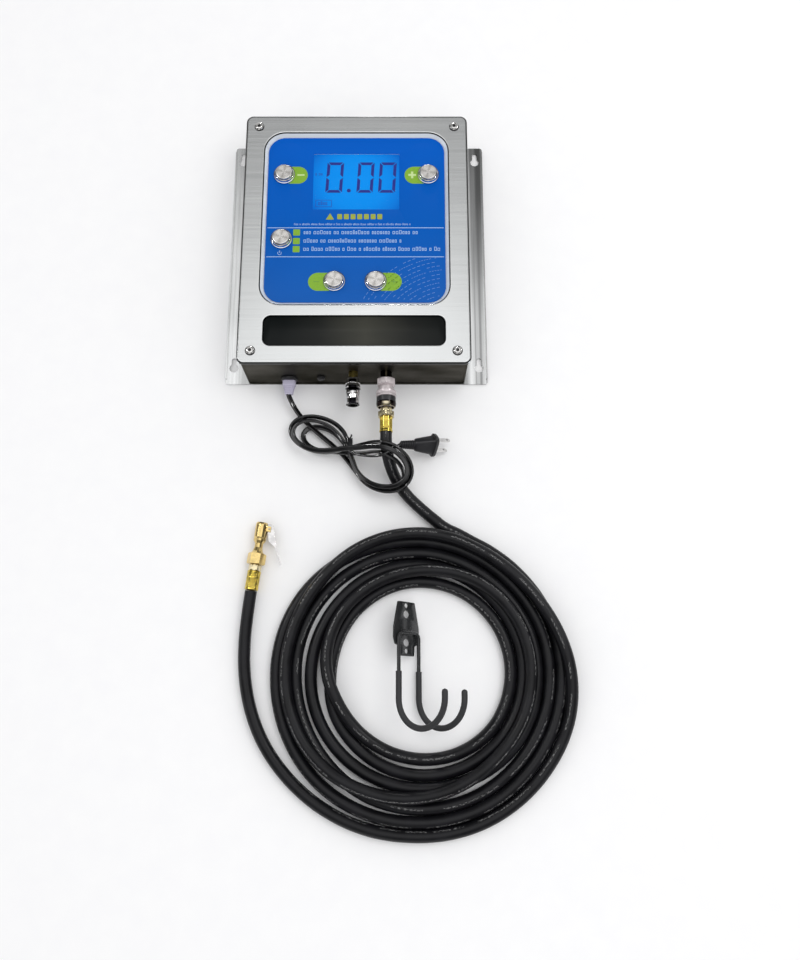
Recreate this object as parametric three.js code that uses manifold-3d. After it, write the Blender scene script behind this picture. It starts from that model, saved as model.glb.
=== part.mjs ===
// Wall-mounted tyre inflator: a steel display unit, its air hose with a clip-on chuck, its mains lead
// and the hook that the hose hangs on.
// Millimetres. The unit lies on its back: +Z comes out of its front, +Y points to its top edge, and +X
// to its right.
// The origin is the centre of the back panel's rear face, and the hose, lead and hook lie on the plane Z = 0.
import * as THREE from 'three';
import { mergeVertices } from 'three/addons/utils/BufferGeometryUtils.js';
import Module from 'manifold-3d';

const wasm = await Module();
wasm.setup();

// ---- driving dimensions ----
const GAP = 0.3;                 // space left between pieces that touch
const UNIT_DEPTH = 65;           // rear face to front face
const COVER = { w: 250, h: 300, t: 1.5, edge: 4, r: 8 };
const BODY = { w: 246, h: 296, t: 1.5, r: 7 };
const PANEL = { w: 294, h: 300, t: 2, r: 3, lip: 4.5, lipT: 1.5, lipShort: 6 };
const KEYHOLE = { x: 138, y: 131, r: 5, slotR: 2.75, rise: 12 };
const SCREW = { x: 110, y: 135.5, thread: 2.5, hole: 2.9, headR: 4.75, headH: 2.7, length: 16 };
const POST = { size: 9, height: 30 };
const GASKET = { t: 1.2, band: 7, pad: 12 };

const FASCIA = { y: 23, w: 196, h: 200.4, r: 18, t: 0.8 };
const RECESS = { bevel: 5, depth: 4.4, t: 1.5 };
const FLOOR_Z = UNIT_DEPTH - RECESS.depth - GAP - FASCIA.t;   // top of the recess's floor
const PANEL_TOP = FLOOR_Z + GAP + FASCIA.t;                    // face of the blue panel
const BOARD = { legs: 12, t: 1.6 };                            // the board hangs this far under the display
const BOARD_Z = FLOOR_Z - RECESS.t - 2 * GAP - BOARD.legs;     // its upper face
const DISPLAY = { y: 69, w: 96, h: 70, lensT: 0.9 };
const WINDOW = { y: -112.3, w: 194.6, h: 34, r: 8, recess: 1.6, t: 2.5 };

const BUTTON = { flangeR: 12, flangeH: 1.3, crownR: 10.3, crownH: 3.6, barrelR: 10.8, barrelL: 17,
  baseT: 2, boreR: 9.6, capR: 9.2, capH: 5.8, capDepth: 9, holeR: 11.2 };
const BUTTONS = {
  minus: [-80.5, 77.5], plus: [80.5, 77.5], power: [-81.5, -2.3],
  lower_left: [-22.5, -53], lower_right: [22.5, -53],
};

const WALL_Y = -BODY.h / 2;      // outer face of the bottom wall
const PORT_Z = 34;               // height of the air ports' axes
const INLET_X = -2;
const OUTLET_X = 34;
const GLAND = { x: -73.5, z: 15, flangeR: 9, stemR: 5.8 };
const VENT = { x: -38, z: 20, r: 4.5, stemR: 2.8 };
const MANIFOLD = { x0: -48, x1: 52, y0: -143, y1: -113, z0: 12, z1: 50 };
const VALVE = { size: 24, length: 34, boreR: 5.4, plungerR: 5, plungerL: 26 };

// Stations along Y of the two air fittings, outwards from the manifold.
const INLET = { x: INLET_X, hexAF: 15, hex: [-163, -155.5], threadR: 4.9, thread: [-182, -168], nutEnd: -186,
  tubeBore: 4.1, airBore: 3.6 };
const OUTLET = { x: OUTLET_X, hexAF: 19, hex: [-163.5, -156.5], barrelR: 8.6, barrel: [-186, -167],
  sleeveR: 11, sleeve: [-188.5, -170], plugHexAF: 17, plugHex: [-199.5, -193.8], plug: [-214, -172.6] };
const HOSE_START = -216.5;       // end of the ferrule on the coupler's plug

const HOSE_R = 6.35;
const CORD_R = 2;
const COIL = { x: 72, y: -466, inner: 80, outer: 152, height: 32 };
const CHUCK = { x: -107.7, y: -382.6, z: 8.8, turn: -7.5 };
const PLUG = { x: 87, y: -225, z: 14.6, turn: 7, dip: 25, roll: 50 };
const HOOK = { x: 58, y: -525.5, z: 18.5, roll: 50, legs: 16, wireR: 1.65, sleeveR: 2.8, bendR: 29, top: 98,
  sleeveTop: 59, tip: 39 };

// ---- closed meshes and booleans ----
function signedVolume(position, index) {
  const a = new THREE.Vector3();
  const b = new THREE.Vector3();
  const c = new THREE.Vector3();
  let six = 0;
  for (let i = 0; i < index.length; i += 3) {
    a.fromBufferAttribute(position, index[i]);
    b.fromBufferAttribute(position, index[i + 1]);
    c.fromBufferAttribute(position, index[i + 2]);
    six += a.dot(b.cross(c));
  }
  return six / 6;
}

function closed(geometry) {
  const bare = geometry.clone();
  bare.deleteAttribute('normal');
  bare.deleteAttribute('uv');
  bare.clearGroups();
  const merged = mergeVertices(bare, 1e-4);
  const old = merged.index.array;
  const index = [];
  for (let i = 0; i < old.length; i += 3) {
    const [a, b, c] = [old[i], old[i + 1], old[i + 2]];
    if (a !== b && b !== c && c !== a) index.push(a, b, c);
  }
  if (signedVolume(merged.attributes.position, index) < 0) index.reverse();
  merged.setIndex(index);
  return merged;
}

function toSolid(geometry) {
  const g = closed(geometry);
  return new wasm.Manifold(new wasm.Mesh({
    numProp: 3,
    vertProperties: new Float32Array(g.attributes.position.array),
    triVerts: new Uint32Array(g.index.array),
  }));
}

function fromSolid(solid) {
  const mesh = solid.getMesh();
  const g = new THREE.BufferGeometry();
  g.setAttribute('position', new THREE.BufferAttribute(new Float32Array(mesh.vertProperties), 3));
  g.setIndex(Array.from(mesh.triVerts));
  return g;
}

const join = (...all) => fromSolid(all.map(toSolid).reduce((a, b) => a.add(b)));
const cut = (base, ...tools) => fromSolid(tools.map(toSolid).reduce((a, b) => a.subtract(b), toSolid(base)));
const common = (a, b) => fromSolid(toSolid(a).intersect(toSolid(b)));

// The four corners of a rectangle, as signs of x and y.
const CORNERS = [[-1, 1], [1, 1], [-1, -1], [1, -1]];

// ---- basic shapes ----
function roundedRect(w, h, r, x = 0, y = 0) {
  const s = new THREE.Shape();
  const [l, b] = [x - w / 2, y - h / 2];
  const [rt, t] = [x + w / 2, y + h / 2];
  s.moveTo(l + r, b);
  s.lineTo(rt - r, b);
  s.absarc(rt - r, b + r, r, -Math.PI / 2, 0, false);
  s.lineTo(rt, t - r);
  s.absarc(rt - r, t - r, r, 0, Math.PI / 2, false);
  s.lineTo(l + r, t);
  s.absarc(l + r, t - r, r, Math.PI / 2, Math.PI, false);
  s.lineTo(l, b + r);
  s.absarc(l + r, b + r, r, Math.PI, 1.5 * Math.PI, false);
  return s;
}

// The same outline as a list of [x, y], always with 4 * (n + 1) points.
function cornerPoints(w, h, r, n) {
  const [x, y] = [w / 2 - r, h / 2 - r];
  const centres = [[x, -y], [x, y], [-x, y], [-x, -y]];
  return centres.flatMap(([x, y], k) => [...Array(n + 1).keys()].map((i) => {
    const a = (Math.PI / 2) * (k - 1 + i / n);
    return [x + r * Math.cos(a), y + r * Math.sin(a)];
  }));
}

function plate(shape, z0, z1, curveSegments = 4) {
  const g = new THREE.ExtrudeGeometry(shape, { depth: z1 - z0, bevelEnabled: false, curveSegments });
  return g.translate(0, 0, z0);
}

function box(x0, x1, y0, y1, z0, z1) {
  const g = new THREE.BoxGeometry(x1 - x0, y1 - y0, z1 - z0);
  return g.translate((x0 + x1) / 2, (y0 + y1) / 2, (z0 + z1) / 2);
}

// A cylinder along Z, and one along Y.
function rodZ(x, y, r, z0, z1, sides = 16) {
  return new THREE.CylinderGeometry(r, r, z1 - z0, sides).rotateX(Math.PI / 2).translate(x, y, (z0 + z1) / 2);
}

function rodY(x, z, r, y0, y1, sides = 16) {
  return new THREE.CylinderGeometry(r, r, y1 - y0, sides).translate(x, (y0 + y1) / 2, z);
}

// A turned piece about a line along Y. The profile is a closed list of [radius, y].
function turnedY(profile, x, z, sides = 16) {
  const points = [...profile, profile[0]].map(([r, y]) => new THREE.Vector2(r, y));
  return closed(new THREE.LatheGeometry(points, sides)).translate(x, 0, z);
}

// The same about a line along Z. The profile is a closed list of [radius, z].
function turnedZ(profile, x, y, sides = 16) {
  const points = [...profile, profile[0]].map(([r, z]) => new THREE.Vector2(r, z));
  return closed(new THREE.LatheGeometry(points, sides)).rotateX(Math.PI / 2).translate(x, y, 0);
}

// A hexagon bar along Y with its two ends turned to a chamfer.
function hexY(acrossFlats, y0, y1, x, z, cornerUp) {
  const r = acrossFlats / Math.sqrt(3);
  const bar = new THREE.CylinderGeometry(r, r, y1 - y0, 6);
  if (!cornerUp) bar.rotateY(Math.PI / 6);
  bar.translate(x, (y0 + y1) / 2, z);
  const [big, small] = [r + 0.2, acrossFlats * 0.49];
  const c = big - small;
  const cone = turnedY([[0, y0], [small, y0], [big, y0 + c * 0.6], [big, y1 - c * 0.6], [small, y1],
    [0, y1]], x, z, 16);
  return common(bar, cone);
}

// A tube of even section along a smooth line through points.
function tube(points, r, steps, sides) {
  return tubeAlong(new THREE.CatmullRomCurve3(points.map((p) => new THREE.Vector3(...p)), false,
    'centripetal'), r, steps, sides);
}

function circle(r, sides, hole = 0) {
  const ring = (radius) => [...Array(sides).keys()].map((i) => {
    const a = (2 * Math.PI * i) / sides;
    return new THREE.Vector2(radius * Math.cos(a), radius * Math.sin(a));
  });
  const s = new THREE.Shape(ring(r));
  if (hole > 0) s.holes.push(new THREE.Path(ring(hole)));
  return s;
}

function tubeAlong(path, r, steps, sides, hole = 0) {
  return new THREE.ExtrudeGeometry(circle(r, sides, hole), { steps, extrudePath: path, bevelEnabled: false });
}

// ---- materials ----
const material = (color, roughness, metalness) =>
  new THREE.MeshStandardMaterial({ color, roughness, metalness });
const steel = material(0xc4c8ca, 0.22, 1.0);
const galvanised = material(0x9fa3a6, 0.45, 0.9);
const blueLabel = material(0x155cc4, 0.4, 0.0);
const smokedAcrylic = material(0x16181a, 0.08, 0.0);
const clearAcrylic = material(0x3f9dff, 0.06, 0.0);
const backlight = material(0x1f86ff, 0.5, 0.0);
const nickel = material(0xd9d6d0, 0.15, 1.0);
const zincSteel = material(0xb9b4b2, 0.4, 0.8);
const brass = material(0xd2ac3a, 0.22, 1.0);
const paleBrass = material(0xd9cf9d, 0.25, 1.0);
const aluminium = material(0xb4b8bb, 0.4, 0.9);
const blackPlastic = material(0x1b1c1d, 0.5, 0.0);
const greyNylon = material(0x8f9099, 0.55, 0.0);
const rubber = material(0x17181a, 0.55, 0.0);
const pvc = material(0x121214, 0.4, 0.0);
const circuit = material(0x1d5c33, 0.6, 0.0);
const copper = material(0xa5652c, 0.5, 0.6);
const blackPaint = material(0x202124, 0.35, 0.2);

const unit = new THREE.Group();

function add(name, geometry, look, parent = unit) {
  const mesh = new THREE.Mesh(closed(geometry), look);
  mesh.name = name;
  parent.add(mesh);
  return mesh;
}

// ---- steel case ----
function keyhole(x, y) {
  return join(
    rodZ(x, y, KEYHOLE.r, -1, PANEL.t + 1, 16),
    box(x - KEYHOLE.slotR, x + KEYHOLE.slotR, y, y + KEYHOLE.rise - KEYHOLE.slotR, -1, PANEL.t + 1),
    rodZ(x, y + KEYHOLE.rise - KEYHOLE.slotR, KEYHOLE.slotR, -1, PANEL.t + 1, 12),
  );
}

function backPanel() {
  const sheet = plate(roundedRect(PANEL.w, PANEL.h, PANEL.r), 0, PANEL.t);
  const [x, y] = [PANEL.w / 2 - PANEL.lipT, PANEL.h / 2 - PANEL.lipShort];
  const lips = [x, -x - PANEL.lipT].map((at) => box(at, at + PANEL.lipT, -y, y, PANEL.t - 1, PANEL.lip));
  const holes = CORNERS.map(([sx, sy]) => keyhole(sx * KEYHOLE.x, sy * KEYHOLE.y));
  return cut(join(sheet, ...lips), ...holes);
}

function enclosureBody() {
  const [z0, z1] = [PANEL.t + GAP, UNIT_DEPTH - COVER.t - 2 * GAP - GASKET.t];
  const outer = plate(roundedRect(BODY.w, BODY.h, BODY.r), z0, z1);
  const inner = plate(roundedRect(BODY.w - 2 * BODY.t, BODY.h - 2 * BODY.t, BODY.r - BODY.t), z0 - 1, z1 + 1);
  const walls = cut(outer, inner);
  const [w, h] = [BODY.w / 2 - 0.8 - SCREW.x + POST.size / 2, BODY.h / 2 - 0.8 - SCREW.y + POST.size / 2];
  const [x, y] = [SCREW.x - POST.size / 2 + w / 2, SCREW.y - POST.size / 2 + h / 2];
  const posts = CORNERS.map(([sx, sy]) => box(sx * x - w / 2, sx * x + w / 2, sy * y - h / 2, sy * y + h / 2,
    z1 - POST.height, z1));
  const ports = [[INLET_X, PORT_Z, 5.4], [OUTLET_X, PORT_Z, 6.7], [GLAND.x, GLAND.z, 6.2],
    [VENT.x, VENT.z, 3.2]]
    .map(([px, pz, r]) => rodY(px, pz, r, WALL_Y - 1, WALL_Y + BODY.t + 1, 16));
  return cut(join(walls, common(join(...posts), outer)), ...ports,
    ...screwHoles(z1 - SCREW.length - 2, z1 + 1));
}

function screwHoles(z0, z1) {
  return CORNERS.map(([sx, sy]) => rodZ(sx * SCREW.x, sy * SCREW.y, SCREW.hole, z0, z1, 8));
}

function coverGasket() {
  const z0 = UNIT_DEPTH - COVER.t - GAP - GASKET.t;
  const z1 = z0 + GASKET.t;
  const [w, h] = [BODY.w - 2 * GASKET.band, BODY.h - 2 * GASKET.band];
  const ring = cut(plate(roundedRect(BODY.w, BODY.h, BODY.r), z0, z1),
    plate(roundedRect(w, h, 3), z0 - 1, z1 + 1));
  const pads = CORNERS.map(([sx, sy]) =>
    plate(roundedRect(GASKET.pad, GASKET.pad, 1, sx * SCREW.x, sy * (SCREW.y + 1)), z0, z1, 1));
  return cut(join(ring, ...pads), ...screwHoles(z0 - 1, z1 + 1));
}

// The sloping wall of the recess pressed into the cover, as a frustum between two rounded outlines.
function recessFrustum(grow, zTop, zFloor) {
  const top = outline(FASCIA.w + 2 * (RECESS.bevel + grow), FASCIA.h + 2 * (RECESS.bevel + grow),
    FASCIA.r + RECESS.bevel + grow, zTop);
  const floor = outline(FASCIA.w + 2 * grow, FASCIA.h + 2 * grow, FASCIA.r + grow, zFloor);
  return loft([floor, top]);
}

function outline(w, h, r, z) {
  return cornerPoints(w, h, r, 5).map(([x, y]) => new THREE.Vector3(x, y + FASCIA.y, z));
}

// Joins rings of equal point counts into one closed body.
function loft(rings) {
  const n = rings[0].length;
  const middle = (ring) => ring.reduce((a, p) => a.add(p), new THREE.Vector3()).divideScalar(n);
  const points = [...rings.flat(), middle(rings[0]), middle(rings[rings.length - 1])];
  const index = [];
  for (let k = 0; k < rings.length - 1; k += 1) {
    for (let i = 0; i < n; i += 1) {
      const j = (i + 1) % n;
      const [a, b, c, d] = [k * n + i, k * n + j, (k + 1) * n + i, (k + 1) * n + j];
      index.push(a, b, d, a, d, c);
    }
  }
  const [low, high] = [rings.length * n, rings.length * n + 1];
  for (let i = 0; i < n; i += 1) {
    const j = (i + 1) % n;
    index.push(low, j, i, high, (rings.length - 1) * n + i, (rings.length - 1) * n + j);
  }
  const g = new THREE.BufferGeometry();
  g.setAttribute('position', new THREE.Float32BufferAttribute(points.flatMap((p) => p.toArray()), 3));
  g.setIndex(index);
  return g;
}

function frontCover() {
  const sheet = cut(
    plate(roundedRect(COVER.w, COVER.h, COVER.r), UNIT_DEPTH - COVER.edge, UNIT_DEPTH),
    plate(roundedRect(COVER.w - 2 * COVER.t, COVER.h - 2 * COVER.t, COVER.r - COVER.t),
      UNIT_DEPTH - COVER.edge - 1, UNIT_DEPTH - COVER.t),
  );
  const bowl = recessFrustum(RECESS.t, UNIT_DEPTH, FLOOR_Z - RECESS.t);
  const hollow = recessFrustum(0, UNIT_DEPTH + 0.01, FLOOR_Z);
  const holes = Object.values(BUTTONS).map(([x, y]) =>
    rodZ(x, y, BUTTON.holeR, FLOOR_Z - 3, FLOOR_Z + 1, 16));
  const display = plate(roundedRect(DISPLAY.w, DISPLAY.h, 1, 0, DISPLAY.y), FLOOR_Z - 3, FLOOR_Z + 1);
  const window = plate(roundedRect(WINDOW.w, WINDOW.h, WINDOW.r, 0, WINDOW.y),
    UNIT_DEPTH - 3, UNIT_DEPTH + 1);
  return cut(join(sheet, bowl), hollow, display, window, ...holes,
    ...screwHoles(UNIT_DEPTH - 3, UNIT_DEPTH + 1));
}

function coverScrew(x, y) {
  const z = UNIT_DEPTH + GAP;
  const s = SCREW;
  const body = turnedZ([[0, z - s.length], [s.thread - 0.5, z - s.length], [s.thread, z - s.length + 0.8],
    [s.thread, z],
    [s.headR, z], [s.headR, z + s.headH * 0.45], [s.headR * 0.62, z + s.headH], [0, z + s.headH]], x, y, 12);
  const socket = new THREE.CylinderGeometry(1.75, 1.75, 3, 6).rotateX(Math.PI / 2)
    .translate(x, y, z + s.headH);
  return cut(body, socket);
}

function fasciaPanel() {
  const sheet = plate(roundedRect(FASCIA.w - 2 * GAP, FASCIA.h - 2 * GAP, FASCIA.r, 0, FASCIA.y),
    FLOOR_Z + GAP, FLOOR_Z + GAP + FASCIA.t, 5);
  const holes = Object.values(BUTTONS).map(([x, y]) => rodZ(x, y, BUTTON.holeR, FLOOR_Z - 3, UNIT_DEPTH, 16));
  const display = plate(roundedRect(DISPLAY.w, DISPLAY.h, 1, 0, DISPLAY.y), FLOOR_Z - 3, UNIT_DEPTH);
  return cut(sheet, display, ...holes);
}

function displayModule() {
  const face = plate(roundedRect(DISPLAY.w - 2 * GAP, DISPLAY.h - 2 * GAP, 1, 0, DISPLAY.y),
    FLOOR_Z - 8, PANEL_TOP - DISPLAY.lensT - GAP, 1);
  const z = FLOOR_Z - RECESS.t - GAP;
  const back = plate(roundedRect(DISPLAY.w + 10, DISPLAY.h + 8, 1, 0, DISPLAY.y), z - 6, z, 1);
  const legs = CORNERS.map(([sx, sy]) => rodZ(sx * DISPLAY.w / 2, DISPLAY.y + sy * DISPLAY.h / 2, 2.5,
    z - BOARD.legs, z - 5, 8));
  return join(face, back, ...legs);
}

function lowerWindow() {
  const top = UNIT_DEPTH - WINDOW.recess;
  const front = plate(roundedRect(WINDOW.w - 2 * GAP, WINDOW.h - 2 * GAP, WINDOW.r - GAP, 0, WINDOW.y),
    UNIT_DEPTH - COVER.t - GAP - WINDOW.t, top);
  const flange = plate(roundedRect(WINDOW.w + 8, WINDOW.h + 6, WINDOW.r, 0, WINDOW.y),
    UNIT_DEPTH - COVER.t - GAP - WINDOW.t, UNIT_DEPTH - COVER.t - GAP);
  return join(front, flange);
}

// ---- push buttons ----
function buttonHousing(x, y) {
  const b = BUTTON;
  const z = PANEL_TOP + GAP;
  const base = z - b.barrelL;
  return turnedZ([[0, base], [b.barrelR, base], [b.barrelR, z], [b.flangeR, z], [b.flangeR, z + b.flangeH],
    [b.crownR, z + b.crownH], [b.boreR, z + b.crownH], [b.boreR, base + b.baseT], [0, base + b.baseT]], x, y);
}

function buttonCap(x, y) {
  const b = BUTTON;
  const z = PANEL_TOP + GAP;
  return turnedZ([[0, z - b.capDepth], [b.capR, z - b.capDepth], [b.capR, z + b.capH - 0.5],
    [b.capR - 0.5, z + b.capH], [0, z + b.capH]], x, y);
}

// ---- electronics ----
function mainBoard() {
  const z = BOARD_Z;
  return join(
    box(-58, 58, DISPLAY.y - 46, DISPLAY.y + 40, z - BOARD.t, z),
    box(-50, -30, DISPLAY.y - 40, DISPLAY.y - 24, z - 14, z - 1),
    box(-20, -2, DISPLAY.y - 40, DISPLAY.y - 26, z - 14, z - 1),
    box(8, 50, DISPLAY.y - 42, DISPLAY.y - 30, z - 10, z - 1),
    box(-10, 6, DISPLAY.y - 8, DISPLAY.y + 8, z - 3, z - 1),
  );
}

function buzzer() {
  const [x, y, z] = [34, DISPLAY.y + 10, BOARD_Z - BOARD.t - GAP];
  return cut(rodZ(x, y, 6, z - 9, z, 16), rodZ(x, y, 1.2, z - 10, z - 6, 8));
}

function powerSupply() {
  const z = PANEL.t + GAP;
  return join(box(-105, -27, -76, -24, z, z + 23), box(-113, -19, -66, -34, z, z + 1.5));
}

// ---- air path ----
function manifoldBlock() {
  const m = MANIFOLD;
  const block = box(m.x0, m.x1, m.y0, m.y1, m.z0, m.z1);
  const feet = box(m.x0 + 6, m.x1 - 6, m.y0 + 4, m.y1 - 4, PANEL.t + GAP, m.z0 + 1);
  const bores = [[INLET_X, PORT_Z, 3.6], [OUTLET_X, PORT_Z, 3.6], [VENT.x, VENT.z, 1.6]]
    .map(([x, z, r]) => rodY(x, z, r, m.y0 - 1, m.y0 + 14, 12));
  return cut(join(block, feet), ...bores);
}

function valveCoil(x) {
  const y0 = MANIFOLD.y1 + GAP;
  const [h, z] = [VALVE.size / 2, PORT_Z];
  return cut(
    join(box(x - h, x + h, y0, y0 + 3, z - h, z + h), rodY(x, z, h, y0 + 2, y0 + VALVE.length - 2, 20),
      box(x - h, x + h, y0 + VALVE.length - 3, y0 + VALVE.length, z - h, z + h)),
    rodY(x, z, VALVE.boreR, y0 - 1, y0 + VALVE.length + 1, 16),
  );
}

function valvePlunger(x) {
  const y0 = MANIFOLD.y1 + GAP;
  const [r, y1] = [VALVE.plungerR, y0 + VALVE.plungerL];
  return turnedY([[0, y0 + 0.5], [r - 2, y0 + 0.5], [r, y0 + 3], [r, y1], [0, y1]], x, PORT_Z, 16);
}

function pressureSensor() {
  const [x, y, z] = [42, MANIFOLD.y1 + GAP, PORT_Z];
  return join(hexY(14, y, y + 6, x, z, false), rodY(x, z, 5.5, y + 5, y + 18, 16),
    box(x - 3, x + 3, y + 17, y + 24, z - 4, z + 4));
}

function exhaustSilencer() {
  const [w, s] = [WALL_Y - GAP, MANIFOLD.y0 - GAP];
  return turnedY([[0, w - 3.6], [2.6, w - 3.6], [VENT.r, w - 2.2], [VENT.r, w], [VENT.stemR, w],
    [VENT.stemR, s], [0, s]], VENT.x, VENT.z, 16);
}

function inletFittingBody() {
  const p = INLET;
  const [[hex0, hex1], [end, neck]] = [p.hex, p.thread];
  const bar = join(
    rodY(p.x, PORT_Z, 5, hex1 - 0.5, MANIFOLD.y0 - GAP, 20),
    hexY(p.hexAF, hex0, hex1, p.x, PORT_Z, false),
    turnedY([[0, end], [p.threadR, end], [p.threadR, neck], [6.3, neck], [6.3, hex0 + 0.5],
      [0, hex0 + 0.5]], p.x, PORT_Z),
  );
  return cut(bar, rodY(p.x, PORT_Z, p.airBore, end - 1, MANIFOLD.y0 + 1, 24));
}

function inletLockNut() {
  const p = INLET;
  const [y0, y1] = [p.nutEnd, p.thread[1] - GAP];
  const taper = turnedY([[0, y0], [7.0, y0], [7.6, y0 + 1.5], [8.3, y1 - 1], [7.7, y1], [0, y1]], p.x,
    PORT_Z);
  const bar = common(new THREE.CylinderGeometry(8.25, 8.25, y1 - y0, 6).rotateY(Math.PI / 6)
    .translate(p.x, (y0 + y1) / 2, PORT_Z), taper);
  const seat = p.thread[0];
  return cut(bar, rodY(p.x, PORT_Z, p.threadR + GAP, seat - GAP, y1 + 1, 20),
    rodY(p.x, PORT_Z, p.tubeBore, y0 - 1, seat, 24));
}

function couplerBody() {
  const p = OUTLET;
  const [[hex0, hex1], [end, neck], r] = [p.hex, p.barrel, p.barrelR];
  const bar = join(
    rodY(p.x, PORT_Z, 6.3, hex1 - 0.5, MANIFOLD.y0 - GAP, 20),
    hexY(p.hexAF, hex0, hex1, p.x, PORT_Z, true),
    turnedY([[0, end], [r, end], [r, neck], [r - 0.4, neck], [r - 0.4, hex0 + 0.5], [0, hex0 + 0.5]], p.x,
      PORT_Z),
  );
  return cut(bar, rodY(p.x, PORT_Z, 3, -175, MANIFOLD.y0 + 1, 16), rodY(p.x, PORT_Z, 6.6, end - 1, -172, 20));
}

function couplerSleeve() {
  const p = OUTLET;
  const [[y0, y1], r, bore] = [p.sleeve, p.sleeveR, p.barrelR + GAP];
  const groove = [[r, -183.2], [r - 0.7, -183], [r - 0.7, -179.6], [r, -179.4]];
  return turnedY([[bore, y0], [r - 0.6, y0], [r, y0 + 0.9], ...groove, [r, y1 - 1], [r - 0.7, y1],
    [bore, y1]], p.x, PORT_Z);
}

function couplerPlug() {
  const p = OUTLET;
  const [[tail, nose], [hex0, hex1]] = [p.plug, p.plugHex];
  const bar = join(
    turnedY([[0, hex1 - 1], [6.6, hex1 - 1], [6.6, -188.6], [6.2, -188.4], [6.2, -176], [5, nose],
      [0, nose]], p.x, PORT_Z),
    hexY(p.plugHexAF, hex0, hex1, p.x, PORT_Z, true),
    rodY(p.x, PORT_Z, 4, tail, hex0 + 0.5, 16),
  );
  return cut(bar, rodY(p.x, PORT_Z, 2.2, tail - 1, nose + 1, 12));
}

function ferruleProfile(y0, y1) {
  const length = y1 - y0;
  return [[4.4, y0], [7.3, y0], [7.3, y0 + length * 0.15], [6.9, y0 + length * 0.22],
    [6.9, y0 + length * 0.78], [7.3, y0 + length * 0.85], [7.3, y1], [4.4, y1]];
}

// ---- hose ----
const HOSE_LEAD = [
  [OUTLET_X, HOSE_START - GAP, PORT_Z], [OUTLET_X, -221, PORT_Z], [34.4, -231, 33], [35.8, -241, 30.5],
  [38.6, -251, 25.5], [43, -261, 18], [49, -270.5, 11.8], [57, -280, 8], [66.5, -289.5, 6.6], [77, -299, 6.5],
  [84, -305, 6.5], [89, -309.1, 6.5],
];
const HOSE_TAIL = [
  [57, -626.4, 6.5], [25, -622, 6.5], [-8, -611, 6.5], [-39, -593, 6.5], [-66, -569, 6.5], [-88, -540, 6.5],
  [-103, -507, 6.5], [-111, -471, 6.6], [-112.5, -435, 7.2], [-109.9, -402, 8.3], [-107.8, -383.2, CHUCK.z],
];

function hoseCoil() {
  const c = COIL;
  const [a, b] = [c.inner, c.outer];
  return turnedZ([[a + 4, 0.3], [b - 4, 0.3], [b, 6], [b, 12], [b - 14, c.height], [a + 18, c.height],
    [a, 14], [a, 6]], c.x, c.y, 28);
}

// ---- chuck, along its own +Y from the end of the hose ----
function buildChuck(parent) {
  add('hose_ferrule_chuck', turnedY(ferruleProfile(0.6, 20.6), 0, 0), brass, parent);
  const adapter = cut(join(hexY(12, 21, 27.4, 0, 0, false), rodY(0, 0, 4, 2, 22, 16)),
    rodY(0, 0, 2.2, 0, 30, 12));
  add('chuck_adapter', adapter, paleBrass, parent);
  const turned = turnedY([[0, 39], [7.6, 39], [5.4, 42], [4.3, 46], [4.4, 50.5], [6.4, 53.2], [6.6, 55.5],
    [6.3, 56.2], [6.6, 57], [6.8, 71], [6.1, 73], [0, 73]], 0, 0);
  const body = cut(join(turned, hexY(17, 27.7, 39.6, 0, 0, false)), rodY(0, 0, 2.2, 20, 62, 12),
    rodY(0, 0, 4.4, 60.5, 75, 24), box(3.2, 9.5, 60, 75, -1.9, 1.9));
  const ears = [-1, 1].map((s) => box(5.6, 10.2, 64, 69.6, s * 3.1 - 0.8, s * 3.1 + 0.8));
  const pinHole = rodZ(8.6, 66.8, 0.95, -6, 6, 12);
  add('chuck_body', cut(join(body, ...ears), pinHole), brass, parent);
  add('chuck_gasket', cut(rodY(0, 0, 4.1, 60.8, 63.4, 20), rodY(0, 0, 1.6, 60, 64, 10)), rubber, parent);
  add('chuck_pivot', rodZ(8.6, 66.8, 0.65, -5, 5, 12), nickel, parent);
  const side = new THREE.Shape([[3.9, 71.6], [4.1, 69.8], [7, 65], [9.4, 55], [10.2, 53.4], [17.2, 48.6],
    [26, 30.6], [27, 31], [18.9, 49.6], [12.4, 71], [8.8, 73]].map(([x, y]) => new THREE.Vector2(x, y)));
  const lever = cut(plate(side, -1.5, 1.5, 1), rodZ(8.6, 66.8, 0.95, -3, 3, 12));
  add('chuck_lever', lever, nickel, parent);
}

// ---- mains lead ----
const CORD_LEAD = [
  [GLAND.x, -167 - GAP, GLAND.z], [GLAND.x, -169.5, GLAND.z], [-71.8, -174, 12.6], [-67.8, -180.5, 8],
  [-62.6, -187, 4.6],
];
const CORD_TAIL = [
  [2, -232.5, 16.5], [8, -234, 24], [15, -235.4, 32], [24, -236.2, 38.8], [33, -236, 41.4],
  [41, -233.8, 38.2], [48.3, -231.2, 32.6],
];

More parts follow.
